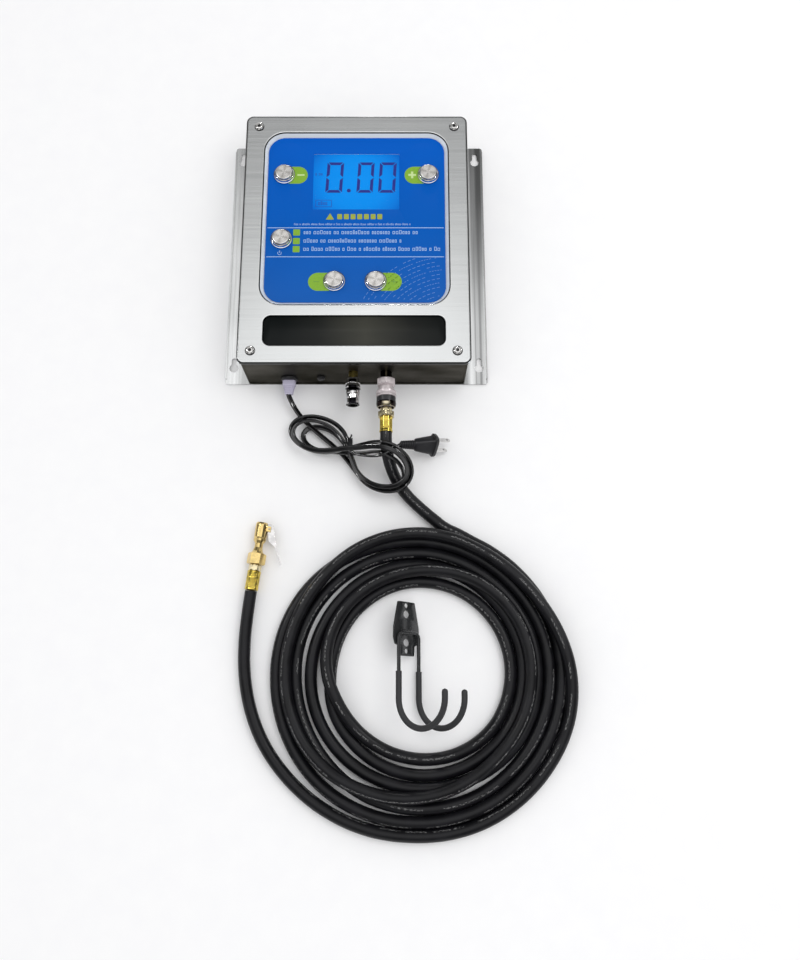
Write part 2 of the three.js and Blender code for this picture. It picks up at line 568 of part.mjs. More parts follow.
// Two lobes: one flat on the floor, one arched over the hose, which drops and drifts to +X under it.
function cordHank() {
  const left = new THREE.Shape();
  left.absellipse(-38.5, -213.5, 35, 22, 0, 2 * Math.PI, false, -0.32);
  const waist = box(-15, 6, -242, -218, 0.4, 13);
  const arch = new THREE.Shape([[2, 0.4], [14, 0.4], [24, 30], [28, 40.5], [44, 40.5], [49, 26],
    [53, 0.4], [60, 0.4],
    [56, 30], [48, 46.5], [24, 46.5], [16, 30], [2, 12]].map(([x, z]) => new THREE.Vector2(x, z)));
  const [yNear, yFar, drift] = [-239, -280, 18];
  const bridge = plate(arch, 0, yNear - yFar, 1).rotateX(Math.PI / 2).translate(0, yNear, 0);
  const at = bridge.attributes.position;
  for (let i = 0; i < at.count; i += 1) {
    const t = (yNear - at.getY(i)) / (yNear - yFar);
    at.setX(i, at.getX(i) + drift * t);
    at.setZ(i, at.getZ(i) * (1 - 0.45 * t));
  }
  return join(plate(left, 0.4, 12, 12), waist, bridge);
}

function cableGland() {
  const [w, s] = [WALL_Y - GAP, WALL_Y + BODY.t + 6];
  const g = GLAND;
  return cut(turnedY([[0, w - 2.6], [g.flangeR - 1.4, w - 2.6], [g.flangeR, w - 1.4], [g.flangeR, w],
    [g.stemR, w], [g.stemR, s], [0, s]], g.x, g.z, 20), rodY(g.x, g.z, 3, w - 4, s + 1, 12));
}

function strainRelief() {
  const y1 = WALL_Y - GAP - 2.6 - GAP;
  const ring = (w, h, y) => cornerPoints(w, h, 1.6, 3)
    .map(([x, z]) => new THREE.Vector3(GLAND.x + x, y, GLAND.z + z));
  return loft([ring(14.4, 10.5, y1), ring(14.4, 10.5, y1 - 5.5), ring(8.6, 6.6, -167)]);
}

// The plug lies along its own +X, from its strain relief to its blades.
function buildPlug(parent) {
  const ring = (x, h, w, r) => cornerPoints(h, w, r, 3).map(([y, z]) => new THREE.Vector3(x, y, z));
  const body = loft([ring(-42, 7, 5.4, 2.2), ring(-26, 8.6, 7, 2.6), ring(-24.5, 12.6, 10.4, 3),
    ring(-7, 18.6, 13.4, 3), ring(-4.2, 19.6, 13.8, 3), ring(-3.8, 25, 17, 4), ring(0, 24, 16, 4)]);
  add('plug_body', body, pvc, parent);
  [-1, 1].forEach((side, i) => {
    const blade = new THREE.Shape();
    blade.moveTo(GAP, -3.15);
    blade.lineTo(14.6, -3.15);
    blade.lineTo(16.2, -1.6);
    blade.lineTo(16.2, 1.6);
    blade.lineTo(14.6, 3.15);
    blade.lineTo(GAP, 3.15);
    const g = plate(blade, -0.75, 0.75, 1).rotateX(Math.PI / 2).translate(0, side * 6.35, 0);
    add(`plug_blade_${i + 1}`, g, nickel, parent);
  });
}

// ---- hose hook, along its own +Y from the bottom of its bends to its top; +Z is away from the wall ----
// One leg's line: down from the plate, round the bend and up to the tip.
function legPath(side, from, to) {
  const h = HOOK;
  const centre = h.sleeveR + h.bendR;
  const path = new THREE.CurvePath();
  const at = (y, z) => new THREE.Vector3(side * h.legs, y, z);
  path.add(new THREE.LineCurve3(at(from, 0), at(centre, 0)));
  const arc = [...Array(13).keys()].map((i) => {
    const a = Math.PI + (Math.PI * i) / 12;
    return at(centre + h.bendR * Math.sin(a), h.bendR + h.bendR * Math.cos(a));
  });
  path.add(new THREE.CatmullRomCurve3(arc));
  path.add(new THREE.LineCurve3(at(centre, 2 * h.bendR), at(to, 2 * h.bendR + 0.5)));
  return path;
}

function buildHook(parent) {
  const h = HOOK;
  const face = new THREE.Shape([[13, 130], [19.5, 104], [20, 93], [17.5, 86], [12.5, 85], [12, 74.5],
    [-12, 74.5],
    [-12.5, 85], [-17.5, 86], [-20, 93], [-19.5, 104], [-13, 130]].map(([x, y]) => new THREE.Vector2(x, y)));
  [[126, 2.8], [117, 4.2], [88, 4.2], [79.5, 2.8]].forEach(([y, r]) => {
    face.holes.push(new THREE.Path(circle(r, 14).getPoints().map((p) => p.add(new THREE.Vector2(0, y)))));
  });
  const saddle = box(-10, 10, h.top - 4.2, h.top + 4.6, -4.4, 3.6);
  const channel = new THREE.CylinderGeometry(2.1, 2.1, 60, 12).rotateZ(Math.PI / 2).translate(0, h.top, 0);
  const hookPlate = cut(join(plate(face, -4.6, -2.4, 4), saddle), channel);
  add('hook_plate', hookPlate, blackPaint, parent);

  const r = 6;
  const wirePoints = (side) => {
    const corner = [...Array(5).keys()].map((i) => {
      const a = (Math.PI / 8) * i;
      return new THREE.Vector3(side * (h.legs - r + r * Math.sin(a)), h.top - r + r * Math.cos(a), 0);
    });
    const inner = legPath(side, h.top - r, h.tip - 3);
    const rest = [...Array(22).keys()].map((i) => inner.getPointAt((i + 1) / 22));
    return [...corner, ...rest];
  };
  const line = [...wirePoints(-1).reverse(), new THREE.Vector3(0, h.top, 0), ...wirePoints(1)];
  const wirePath = new THREE.CatmullRomCurve3(line, false, 'centripetal');
  add('hook_wire', tubeAlong(wirePath, h.wireR, 48, 6), blackPaint, parent);
  [-1, 1].forEach((side, i) => {
    add(`hook_sleeve_${i + 1}`, tubeAlong(legPath(side, h.sleeveTop, h.tip), h.sleeveR, 16, 6, h.wireR + 0.6),
      rubber, parent);
  });
}

// ---- assembly ----
add('back_panel', backPanel(), steel);
add('enclosure_body', enclosureBody(), steel);
add('cover_gasket', coverGasket(), rubber);
add('front_cover', frontCover(), steel);
CORNERS.forEach(([sx, sy], i) => {
  add(`cover_screw_${i + 1}`, coverScrew(sx * SCREW.x, sy * SCREW.y), nickel);
});
add('fascia_panel', fasciaPanel(), blueLabel);
add('display_lens', plate(roundedRect(DISPLAY.w - 2 * GAP, DISPLAY.h - 2 * GAP, 1, 0, DISPLAY.y),
  PANEL_TOP - DISPLAY.lensT, PANEL_TOP, 1), clearAcrylic);
add('display_module', displayModule(), backlight);
add('lower_window', lowerWindow(), smokedAcrylic);
for (const [name, [x, y]] of Object.entries(BUTTONS)) {
  add(`button_housing_${name}`, buttonHousing(x, y), nickel);
  add(`button_cap_${name}`, buttonCap(x, y), steel);
}
add('main_board', mainBoard(), circuit);
add('power_supply', powerSupply(), galvanised);
add('buzzer', buzzer(), blackPlastic);
add('manifold_block', manifoldBlock(), aluminium);
add('inlet_valve_coil', valveCoil(INLET_X), copper);
add('inlet_valve_plunger', valvePlunger(INLET_X), zincSteel);
add('exhaust_valve_coil', valveCoil(VENT.x + 2), copper);
add('exhaust_valve_plunger', valvePlunger(VENT.x + 2), zincSteel);
add('pressure_sensor', pressureSensor(), zincSteel);
add('exhaust_silencer', exhaustSilencer(), blackPlastic);
add('inlet_fitting_body', inletFittingBody(), nickel);
add('inlet_lock_nut', inletLockNut(), nickel);
add('coupler_body', couplerBody(), nickel);
add('coupler_sleeve', couplerSleeve(), zincSteel);
add('coupler_plug', couplerPlug(), paleBrass);
add('hose_ferrule_inlet', turnedY(ferruleProfile(HOSE_START, -199.8), OUTLET_X, PORT_Z), brass);
add('hose_lead', tube(HOSE_LEAD, HOSE_R, 14, 8), rubber);
add('hose_coil', hoseCoil(), rubber);
add('hose_tail', tube(HOSE_TAIL, HOSE_R, 20, 8), rubber);

const chuck = new THREE.Group();
chuck.position.set(CHUCK.x, CHUCK.y, CHUCK.z);
chuck.rotation.z = THREE.MathUtils.degToRad(CHUCK.turn);
unit.add(chuck);
buildChuck(chuck);

add('cable_gland', cableGland(), blackPlastic);
add('strain_relief', strainRelief(), greyNylon);
add('mains_cord_lead', tube(CORD_LEAD, CORD_R, 10, 8), pvc);
add('mains_cord_hank', cordHank(), pvc);
add('mains_cord_tail', tube(CORD_TAIL, CORD_R, 12, 8), pvc);
add('cord_tie', box(-8, -3, -238, -218, 13.3, 15.5), pvc);

const plug = new THREE.Group();
plug.position.set(PLUG.x, PLUG.y, PLUG.z);
plug.rotation.set(THREE.MathUtils.degToRad(PLUG.roll), THREE.MathUtils.degToRad(PLUG.dip),
  THREE.MathUtils.degToRad(PLUG.turn), 'ZYX');
unit.add(plug);
buildPlug(plug);

const hook = new THREE.Group();
hook.position.set(HOOK.x, HOOK.y, HOOK.z);
hook.rotation.y = THREE.MathUtils.degToRad(HOOK.roll);
unit.add(hook);
buildHook(hook);

export default unit;
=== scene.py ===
import math

import bmesh
import bpy
import numpy as np
from mathutils import Euler, Matrix, Vector


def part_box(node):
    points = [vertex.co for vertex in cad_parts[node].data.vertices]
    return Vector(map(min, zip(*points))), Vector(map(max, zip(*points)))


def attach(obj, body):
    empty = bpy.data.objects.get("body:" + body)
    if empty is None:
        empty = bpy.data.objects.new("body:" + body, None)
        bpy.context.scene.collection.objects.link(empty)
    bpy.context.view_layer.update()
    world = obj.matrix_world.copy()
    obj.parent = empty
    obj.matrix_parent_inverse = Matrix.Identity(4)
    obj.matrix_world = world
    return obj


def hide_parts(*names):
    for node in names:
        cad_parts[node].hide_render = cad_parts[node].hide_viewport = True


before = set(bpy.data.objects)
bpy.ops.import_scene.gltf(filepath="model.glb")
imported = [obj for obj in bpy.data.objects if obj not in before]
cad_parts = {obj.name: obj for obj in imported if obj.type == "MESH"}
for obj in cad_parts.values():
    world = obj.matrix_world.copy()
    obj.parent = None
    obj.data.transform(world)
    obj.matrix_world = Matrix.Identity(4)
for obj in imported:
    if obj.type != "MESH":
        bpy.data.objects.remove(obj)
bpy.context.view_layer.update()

MM = 0.001
Y_AXIS, Z_AXIS = (0, 1, 0), (0, 0, 1)
BODY = "inflator"
HOOK_BODY = "hose_hook"


# ---- the frame's own sizes ----
def node_box(name):
    """The lowest and highest corner of a CAD node, in millimetres."""
    low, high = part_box(name)
    return np.array(low) / MM, np.array(high) / MM


def middle(name):
    low, high = node_box(name)
    return (low + high) / 2


PANEL_BACK, PANEL_Z = (corner[2] for corner in node_box("fascia_panel"))
LENS_BACK, LENS_Z = (corner[2] for corner in node_box("display_lens"))
WINDOW_BACK = node_box("lower_window")[0][2]
FACE_Z = float(node_box("front_cover")[1][2])
FLOOR_OF_RECESS = PANEL_BACK - 0.3
PORT_Z = middle("coupler_sleeve")[2]
INLET_X = middle("inlet_fitting_body")[0]
OUTLET_X = middle("coupler_sleeve")[0]
BUTTON_NAMES = ("minus", "plus", "power", "lower_left", "lower_right")
BUTTON_AT = {n: middle(f"button_housing_{n}")[:2] for n in BUTTON_NAMES}
COVER_W, COVER_H, COVER_R = 250, 300, 8
PANEL_W, PANEL_H, PANEL_R, PANEL_Y = 196, 200.4, 18, 23
WINDOW_W, WINDOW_H, WINDOW_R, WINDOW_Y = 194.6, 34, 8, -112.3
DISPLAY_W, DISPLAY_H, DISPLAY_Y = 96, 70, 69
SCREW_X, SCREW_Y, SCREW_HOLE = 110, 135.5, 2.9
HOUSING_HOLE = 10.8


# ---- camera ----
CAMERA_AT = (0.04897, -0.5141, 0.9887)   # metres
CAMERA_TILT = 14.394
FOCAL_LENGTH = 35


def make_camera():
    data = bpy.data.cameras.new("camera")
    data.lens = FOCAL_LENGTH
    camera = bpy.data.objects.new("camera", data)
    bpy.context.scene.collection.objects.link(camera)
    camera.location = CAMERA_AT
    camera.rotation_euler = (math.radians(CAMERA_TILT), 0, 0)
    bpy.context.scene.camera = camera


# ---- lines ----
def polar(x, y, r, angle):
    """The point at that distance and angle from x, y."""
    return x + r * math.cos(angle), y + r * math.sin(angle)


def unit(v):
    return v / np.maximum(np.linalg.norm(v, axis=-1, keepdims=True), 1e-12)


def through(points, step):
    """A smooth line through points, with its own points about step apart."""
    p = np.array(points, float)
    p = np.vstack([2 * p[0] - p[1], p, 2 * p[-1] - p[-2]])
    out = []
    for a, b, c, d in zip(p[:-3], p[1:-2], p[2:-1], p[3:]):
        t1, t2, t3 = np.cumsum([np.linalg.norm(y - x) ** 0.5 for x, y in ((a, b), (b, c), (c, d))])
        for t in np.linspace(t1, t2, 12, endpoint=False):
            ab = (a * (t1 - t) + b * t) / t1
            bc = (b * (t2 - t) + c * (t - t1)) / (t2 - t1)
            cd = (c * (t3 - t) + d * (t - t2)) / (t3 - t2)
            low = (ab * (t2 - t) + bc * t) / t2
            high = (bc * (t3 - t) + cd * (t - t1)) / (t3 - t1)
            out.append((low * (t2 - t) + high * (t - t1)) / (t2 - t1))
    return spaced(np.vstack([out, p[-2]]), step)


def spaced(line, step):
    """The same line with its points evenly spaced, about step apart."""
    along = np.concatenate([[0], np.cumsum(np.linalg.norm(np.diff(line, axis=0), axis=1))])
    at = np.linspace(0, along[-1], max(3, round(along[-1] / step) + 1))
    return np.stack([np.interp(at, along, line[:, k]) for k in range(3)], axis=1)


# ---- cords settling under their own weight ----
def near_pairs(a, b, reach, skip):
    """Pairs of points of two lines within reach of each other. skip leaves out neighbours on one line."""
    far = np.linalg.norm(a[:, None] - b[None], axis=2)
    i, j = np.nonzero(far < reach)
    keep = np.abs(i - j) > skip
    return i[keep], j[keep]


def push(p, q, i, j, gap, share):
    """Moves points i of line p away from the line q at its points j where they are closer than gap."""
    tangent = unit(np.gradient(q, axis=0))
    d = p[i] - q[j]
    ahead = (d * tangent[j]).sum(1)
    step = np.linalg.norm(q[1] - q[0])
    d = d - ahead[:, None] * tangent[j]
    far = np.linalg.norm(d, axis=1)
    hit = (far < gap) & (np.abs(ahead) <= 0.75 * step)
    move, count = np.zeros_like(p), np.zeros(len(p))
    np.add.at(move, i[hit], unit(d[hit]) * (gap - far[hit])[:, None] * share)
    np.add.at(count, i[hit], 1)
    return move / np.maximum(count, 1)[:, None]


def settle(line, thick, rest_z, obstacles, rounds, drop, stiff, hold):
    """Lets a cord sink onto the floor, onto itself and onto fixed lines given as (line, gap).

    It keeps its length and the curvature that it was laid with, and its first and last points stay."""
    p, rest = line.copy(), line.copy()
    rest[:, 2] = 0
    for _ in range(20):
        rest[1:-1] = (rest[:-2] + 2 * rest[1:-1] + rest[2:]) / 4
    step = np.linalg.norm(np.diff(line, axis=0), axis=1).mean()
    skip = int(3 * thick / step)
    free = slice(hold, len(p) - hold)
    for k in range(rounds):
        if k % 15 == 0:
            i, j = near_pairs(p, p, 1.7 * thick, skip)
            fixed = [(q, g, *near_pairs(p, q, g + 2 * thick, -1)) for q, g in obstacles]
        move = np.zeros_like(p)
        move[:, 2] -= drop
        for m in (1, 4):
            bend = (p[:-2 * m] + p[2 * m:]) / 2 - p[m:-m]
            laid = (rest[:-2 * m] + rest[2 * m:]) / 2 - rest[m:-m]
            move[m:-m] += stiff * (bend - laid)
        p[free] += move[free]
        for _ in range(3):
            move = push(p, p, i, j, thick, 0.5)
            for q, g, a, b in fixed:
                move += push(p, q, a, b, g, 1.0)
            d = np.diff(p, axis=0)
            pull = unit(d) * (np.linalg.norm(d, axis=1) - step)[:, None] * 0.25
            move[:-1] += pull
            move[1:] -= pull
            p[free] += move[free]
            p[:, 2] = np.maximum(p[:, 2], rest_z)
    return p


# ---- the hose's line ----
HOSE_R = 6.35
HOSE_Z = 6.5                          # height of a strand's middle on the floor
HOSE_LEAD = [
    (34, -214.5, 34), (34, -221, 34), (34.4, -231, 33), (35.8, -241, 30.5), (38.6, -251, 25.5),
    (43, -261, 18), (49, -270.5, 11.8), (57, -280, 8), (66.5, -289.5, 6.6), (77, -299, 6.5),
    (84, -305, 6.5), (89, -309.1, 6.5),
]
HOSE_TAIL = [
    (57, -626.4, 6.5), (25, -622, 6.5), (-8, -611, 6.5), (-39, -593, 6.5), (-66, -569, 6.5),
    (-88, -540, 6.5), (-103, -507, 6.5), (-111, -471, 6.6), (-112.5, -435, 7.2), (-109.9, -402, 8.3),
    (-107.8, -383.2, 8.8),
]
# The coil lies between two circles that don't share a centre, so it is wider on its left.
INNER_RING = (74.7, -462.8, 91.0)     # x, y, radius of the innermost strand
OUTER_RING = (65.6, -471.7, 148.0)    # the same for the outermost
TURNS = 6.4975
PER_TURN = 36                         # points laid in one turn
UPPER_Z = 21.0                        # height that the upper turns are dropped from
# How far out the strand lies after that many turns: 0 is the inner circle and 1 the outer one.
COIL_SHARE = [
    (0, 1.22), (0.028, 1.07), (0.055, 0.975), (0.09, 0.925), (0.14, 0.91), (0.3, 0.93), (0.6, 0.97),
    (0.9, 0.88), (1.05, 0.72), (1.3, 0.69), (1.6, 0.73), (1.9, 0.66), (2.1, 0.49), (2.5, 0.47),
    (3.0, 0.32), (3.5, 0.17), (4.0, 0.04), (4.4, 0.02), (4.9, 0.22), (5.4, 0.5), (5.75, 0.8),
    (6.0, 1.04), (6.2, 1.05), (6.5, 1.04),
]
CLIMB_AT = 3.95                       # the turn at which the hose starts to lie on itself


def ring_point(share, angle, z):
    """A point of the coil: share 0 is its innermost circle and 1 its outermost."""
    x, y, r = (a + (b - a) * share for a, b in zip(INNER_RING, OUTER_RING))
    return (*polar(x, y, r, angle), z)


def smooth(t):
    """Rises gently from 0 to 1."""
    t = min(1.0, max(0.0, t))
    return t * t * (3 - 2 * t)


def hose_line():
    first = math.atan2(HOSE_LEAD[-1][1] - OUTER_RING[1], HOSE_LEAD[-1][0] - OUTER_RING[0])
    turns, shares = zip(*COIL_SHARE)
    loose = []
    count = int(TURNS * PER_TURN)
    for k in range(1, count - 1):
        turn = TURNS * k / count
        angle = first - 2 * math.pi * turn
        wander = 0.03 * math.sin(2.6 * angle + 1.3 * turn) + 0.02 * math.sin(1.4 * angle)
        climb = smooth((turn - CLIMB_AT) / 0.32) * (1 - smooth((turn - TURNS + 0.42) / 0.36))
        share = np.interp(turn, turns, shares) + wander * min(1, turn)
        loose.append(ring_point(share, angle, HOSE_Z + (UPPER_Z - HOSE_Z) * climb))
    coil = through([HOSE_LEAD[-2], HOSE_LEAD[-1], *loose, HOSE_TAIL[0], HOSE_TAIL[1]], 8)
    lead, tail = through(HOSE_LEAD, 8), through(HOSE_TAIL, 8)
    coil = settle(coil, 2 * HOSE_R + 0.1, HOSE_Z, [(lead[:-4], 2 * HOSE_R), (tail[4:], 2 * HOSE_R)],
                  rounds=260, drop=0.12, stiff=0.15, hold=3)
    line = np.vstack([lead[:-2], coil[2:-2], tail[2:]])
    return through(spaced(line, 9), 4)


# ---- the mains lead's line ----
CORD_W, CORD_T = 5.6, 3.3
CORD_GAP = 5.1                        # least distance between strands' middles
CORD_Z = 2.6                          # height of a strand's middle on the floor
CORD_LEAD = [
    (-73.5, -164, 15), (-73.5, -169.5, 15), (-71.8, -174, 12.6), (-67.8, -180.5, 8), (-62.6, -187, 4.6),
    (-54, -196, 2.8), (-42, -206, 2.7), (-28, -217, 2.7), (-13, -228, 3.2),
]
CORD_TAIL = [
    (-6, -231.5, 15), (2, -233, 22), (10, -234.5, 31), (18, -235.5, 40), (26, -236, 46), (33, -235.5, 47),
    (41, -232.8, 40), (48.3, -230.2, 33), (53, -229.4, 30.4),
]
LEFT_LOBE = (-38.5, -213.5, 32.0, 18.5, -0.32)     # centre x, y, half length, half width, turn
RIGHT_LOBE = (31.0, -252.5, 30.0, 19.5, -0.36)
# Each pass of the hank: its size round the left lobe and round the right one, and its height.
PASSES = ((0.8, 0.98, 0.0), (1.18, 1.16, 5.0), (1.0, 1.06, 10.0))
# The heights round the right lobe, which rises over the hose: (degrees, height).
OVER_HOSE = (
    (205, 9), (235, 16), (260, 26), (285, 36), (310, 38), (335, 35), (0, 34), (25, 39), (50, 47), (75, 50),
    (100, 46), (125, 34), (150, 20),
)


def lobe_point(lobe, degrees, size, z):
    x, y, a, b, turn = lobe
    u, v = a * size * math.cos(math.radians(degrees)), b * size * math.sin(math.radians(degrees))
    return x + u * math.cos(turn) - v * math.sin(turn), y + u * math.sin(turn) + v * math.cos(turn), z


def cord_line(hose):
    """A figure of eight: each pass goes round the right lobe, over the hose, then round the left one."""
    points = list(CORD_LEAD)
    for left, right, up in PASSES:
        points += [lobe_point(RIGHT_LOBE, a, right, z + up) for a, z in OVER_HOSE]
        points.append((-5, -229.5, 9 + up))
        points += [lobe_point(LEFT_LOBE, -a, left, 3 + up * 0.7) for a in range(35, 340, 25)]
        points.append((-5, -228.5, 6 + up))
    points = points[:-1] + CORD_TAIL
    line = through(points, 4)
    for _ in range(4):
        line[3:-3] = (line[2:-4] + 2 * line[3:-3] + line[4:-2]) / 4
    near_hose = [(hose[:90], HOSE_R + 3.3)]
    line = settle(line, CORD_GAP, CORD_Z, near_hose, rounds=260, drop=0.08, stiff=0.25, hold=4)
    for _ in range(6):
        line[2:-2] = (line[1:-3] + 2 * line[2:-2] + line[3:-1]) / 4
    return through(line, 2)


# ---- meshes ----
def new_object(name, mesh):
    made = bpy.data.objects.new(name, mesh)
    bpy.context.scene.collection.objects.link(made)
    return made


def from_faces(name, verts, faces):
    mesh = bpy.data.meshes.new(name)
    mesh.from_pydata([tuple(float(c) * MM for c in v) for v in verts], [], faces)
    mesh.update()
    return new_object(name, mesh)


def from_bmesh(name, bm):
    mesh = bpy.data.meshes.new(name)
    bmesh.ops.scale(bm, vec=(MM, MM, MM), verts=bm.verts)
    bm.to_mesh(mesh)
    bm.free()
    return new_object(name, mesh)


def shade(made, degrees=35):
    made.data.polygons.foreach_set("use_smooth", [True] * len(made.data.polygons))
    made.data.set_sharp_from_angle(angle=math.radians(degrees))


def apply_modifiers(made):
    graph = bpy.context.evaluated_depsgraph_get()
    mesh = bpy.data.meshes.new_from_object(made.evaluated_get(graph))
    made.modifiers.clear()
    made.data = mesh


def done(made, mat, slot, body, *nodes, degrees=35):
    """Finishes a piece: its material, its body and the CAD nodes that it stands for. slot is not used."""
    made.data.materials.clear()
    made.data.materials.append(mat)
    shade(made, degrees)
    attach(made, body)
    if nodes:
        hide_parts(*nodes)
    return made


def round_section(r, sides):
    return circle(r, n=sides)


def twin_section(width, thickness, sides=14):
    """Two round conductors side by side, joined by a web."""
    r = thickness / 2
    off = width / 2 - r
    out = []
    for k in range(sides):
        a = 2 * math.pi * k / sides
        c, s = math.cos(a), math.sin(a)
        pinch = 0.78 if abs(c) < 0.3 else 1.0
        out.append((math.copysign(off, c) * min(1, abs(c) * 3) + r * c, r * s * pinch))
    return out


def swept(name, line, section, roll=0.0, twist=0.0, scale=None):
    """A closed tube with that section along a line. UV: metres along it, and the share of the way round."""
    line = np.array(line, float)
    n, m = len(line), len(section)
    tangent = unit(np.gradient(line, axis=0))
    side = unit(np.cross(tangent[0], (0.0, 0.0, 1.0)))
    if np.linalg.norm(np.cross(tangent[0], (0.0, 0.0, 1.0))) < 0.05:
        side = np.array((1.0, 0.0, 0.0))
    along = np.concatenate([[0], np.cumsum(np.linalg.norm(np.diff(line, axis=0), axis=1))])
    verts = []
    for k in range(n):
        side = unit(side - tangent[k] * (side @ tangent[k]))
        up = np.cross(side, tangent[k])
        turn = roll + twist * along[k]
        grow = 1.0 if scale is None else scale(along[k], along[-1])
        for u, v in section:
            a = u * math.cos(turn) - v * math.sin(turn)
            b = u * math.sin(turn) + v * math.cos(turn)
            verts.append(line[k] + (side * a + up * b) * grow)
    faces = [(k * m + i, k * m + (i + 1) % m, (k + 1) * m + (i + 1) % m, (k + 1) * m + i)
             for k in range(n - 1) for i in range(m)]
    faces += [tuple(range(m))[::-1], tuple((n - 1) * m + i for i in range(m))]
    made = from_faces(name, verts, faces)
    layer = made.data.uv_layers.new(name="along").data
    for k in range((n - 1) * m):
        ring, i = divmod(k, m)
        for corner, (r, s) in enumerate(((ring, i), (ring, i + 1), (ring + 1, i + 1), (ring + 1, i))):
            layer[4 * k + corner].uv = (along[r] * MM, s / m)
    return outward(made)


def outward(made):
    """Makes a closed piece's faces look outwards."""
    bm = bmesh.new()
    bm.from_mesh(made.data)
    if bm.calc_volume(signed=True) < 0:
        made.data.flip_normals()
    bm.free()
    return made


def hexa(across, corner_up=False, limit=None):
    """A hexagon's radius by angle, for turned(). limit is the radius that its corners are turned down to."""
    shift = math.pi / 6 if corner_up else 0

    def radius(angle):
        full = across / 2 / math.cos((angle + shift) % (math.pi / 3) - math.pi / 6)
        return min(full, limit) if limit else full
    return radius


def hex_bar(across, low, high, corner_up=False, chamfer=0.7):
    """Profile rows of a hexagon with chamfered ends, from one station to the other."""
    corner = across / 2 / math.cos(math.pi / 6)
    ends = [(hexa(across, corner_up, across / 2 - 0.1), 0), (hexa(across, corner_up, corner - 0.1), chamfer)]
    return [(r, low + d) for r, d in ends] + [(r, high - d) for r, d in reversed(ends)]


def turned(name, profile, axis, origin, sides=72):
    """A lathed piece from (radius, station) rows, closed on itself or on its axis.

    A radius may be a function of the angle, as in a hexagon."""
    axis = unit(np.array(axis, float))
    side = np.array((1.0, 0.0, 0.0)) if abs(axis[0]) < 0.5 else np.array((0.0, 1.0, 0.0))
    side = unit(side - axis * (side @ axis))
    up = np.cross(axis, side)
    verts, faces, rings = [], [], []
    for r, s in profile:
        centre = np.array(origin, float) + axis * s
        if not callable(r) and r < 1e-6:
            rings.append([len(verts)])
            verts.append(centre)
            continue
        rings.append(list(range(len(verts), len(verts) + sides)))
        for k in range(sides):
            a = 2 * math.pi * k / sides
            here = r(a) if callable(r) else r
            verts.append(centre + here * (side * math.cos(a) + up * math.sin(a)))
    for low, high in zip(rings, rings[1:] + rings[:1]):
        if len(low) == 1 and len(high) == 1:
            continue
        for i in range(sides):
            j = (i + 1) % sides
            corner = [low[i % len(low)], low[j % len(low)], high[j % len(high)], high[i % len(high)]]
            faces.append(tuple(dict.fromkeys(corner)))
    return outward(from_faces(name, verts, faces))


def solid_rows(rows):
    """Profile rows closed on the axis at both ends."""
    return [(0, rows[0][1]), *rows, (0, rows[-1][1])]


def bored(rows, bore):
    """Profile rows closed round a straight bore."""
    return [*rows, (bore, rows[-1][1]), (bore, rows[0][1])]


def placed(made, at, degrees=(0, 0, 0)):
    """Turns a mesh about its origin and moves it to a point, in millimetres."""
    turn = Euler([math.radians(d) for d in degrees], "XYZ").to_matrix().to_4x4()
    made.data.transform(Matrix.Translation([c * MM for c in at]) @ turn)
    return made


def rounded(w, h, r, x=0.0, y=0.0, n=10):
    """A rectangle with round corners, anticlockwise, with 4 * (n + 1) points."""
    out = []
    for k, (cx, cy) in enumerate(((w / 2 - r, r - h / 2), (w / 2 - r, h / 2 - r), (r - w / 2, h / 2 - r),
                                  (r - w / 2, r - h / 2))):
        for i in range(n + 1):
            a = math.pi / 2 * (k - 1 + i / n)
            out.append(polar(x + cx, y + cy, r, a))
    return out


def circle(r, x=0.0, y=0.0, n=48):
    return [polar(x, y, r, 2 * math.pi * k / n) for k in range(n)]


def loop(bm, outline, z):
    return [bm.verts.new((x, y, z)) for x, y in outline]


def strip(bm, low, high):
    n = len(low)
    for i in range(n):
        bm.faces.new((low[i], low[(i + 1) % n], high[(i + 1) % n], high[i]))


def edges_of(bm, ring):
    n = len(ring)
    found = []
    for i in range(n):
        pair = (ring[i], ring[(i + 1) % n])
        found.append(bm.edges.get(pair) or bm.edges.new(pair))
    return found


def fill(bm, rings):
    edges = [e for ring in rings for e in edges_of(bm, ring)]
    bmesh.ops.triangle_fill(bm, use_beauty=True, use_dissolve=False, edges=edges)


def plate_mesh(name, outline, holes, z0, z1, soft=0.0):
    """A flat plate from an outline and holes, with its upper edges rounded by soft."""
    bm = bmesh.new()
    low, high = [], []
    for k, line in enumerate([outline, *holes]):
        grow = -1 if k == 0 else 1
        a = loop(bm, line, z0)
        b = loop(bm, line, z1 - soft)
        strip(bm, a, b)
        if soft:
            mid = loop(bm, offset(line, grow * soft * 0.3), z1 - soft * 0.3)
            top = loop(bm, offset(line, grow * soft), z1)
            strip(bm, b, mid)
            strip(bm, mid, top)
            b = top
        low.append(a)
        high.append(b)
    fill(bm, low)
    fill(bm, high)
    bmesh.ops.recalc_face_normals(bm, faces=bm.faces)
    return from_bmesh(name, bm)


def offset(outline, by):
    """The outline moved outwards by that much, along its corners' normals."""
    p = np.array(outline, float)
    before, after = unit(p - np.roll(p, 1, 0)), unit(np.roll(p, -1, 0) - p)
    tangent = unit(before + after)
    normal = np.stack([tangent[:, 1], -tangent[:, 0]], 1)
    corner = np.maximum((normal * np.stack([before[:, 1], -before[:, 0]], 1)).sum(1), 0.4)
    return [tuple(q) for q in p + normal * (by / corner)[:, None]]


def joined(name, *parts):
    """Several meshes as one piece."""
    bm = bmesh.new()
    for part in parts:
        part.data.transform(part.matrix_world)
        bm.from_mesh(part.data)
        bpy.data.objects.remove(part)
    mesh = bpy.data.meshes.new(name)
    bm.to_mesh(mesh)
    bm.free()
    return new_object(name, mesh)


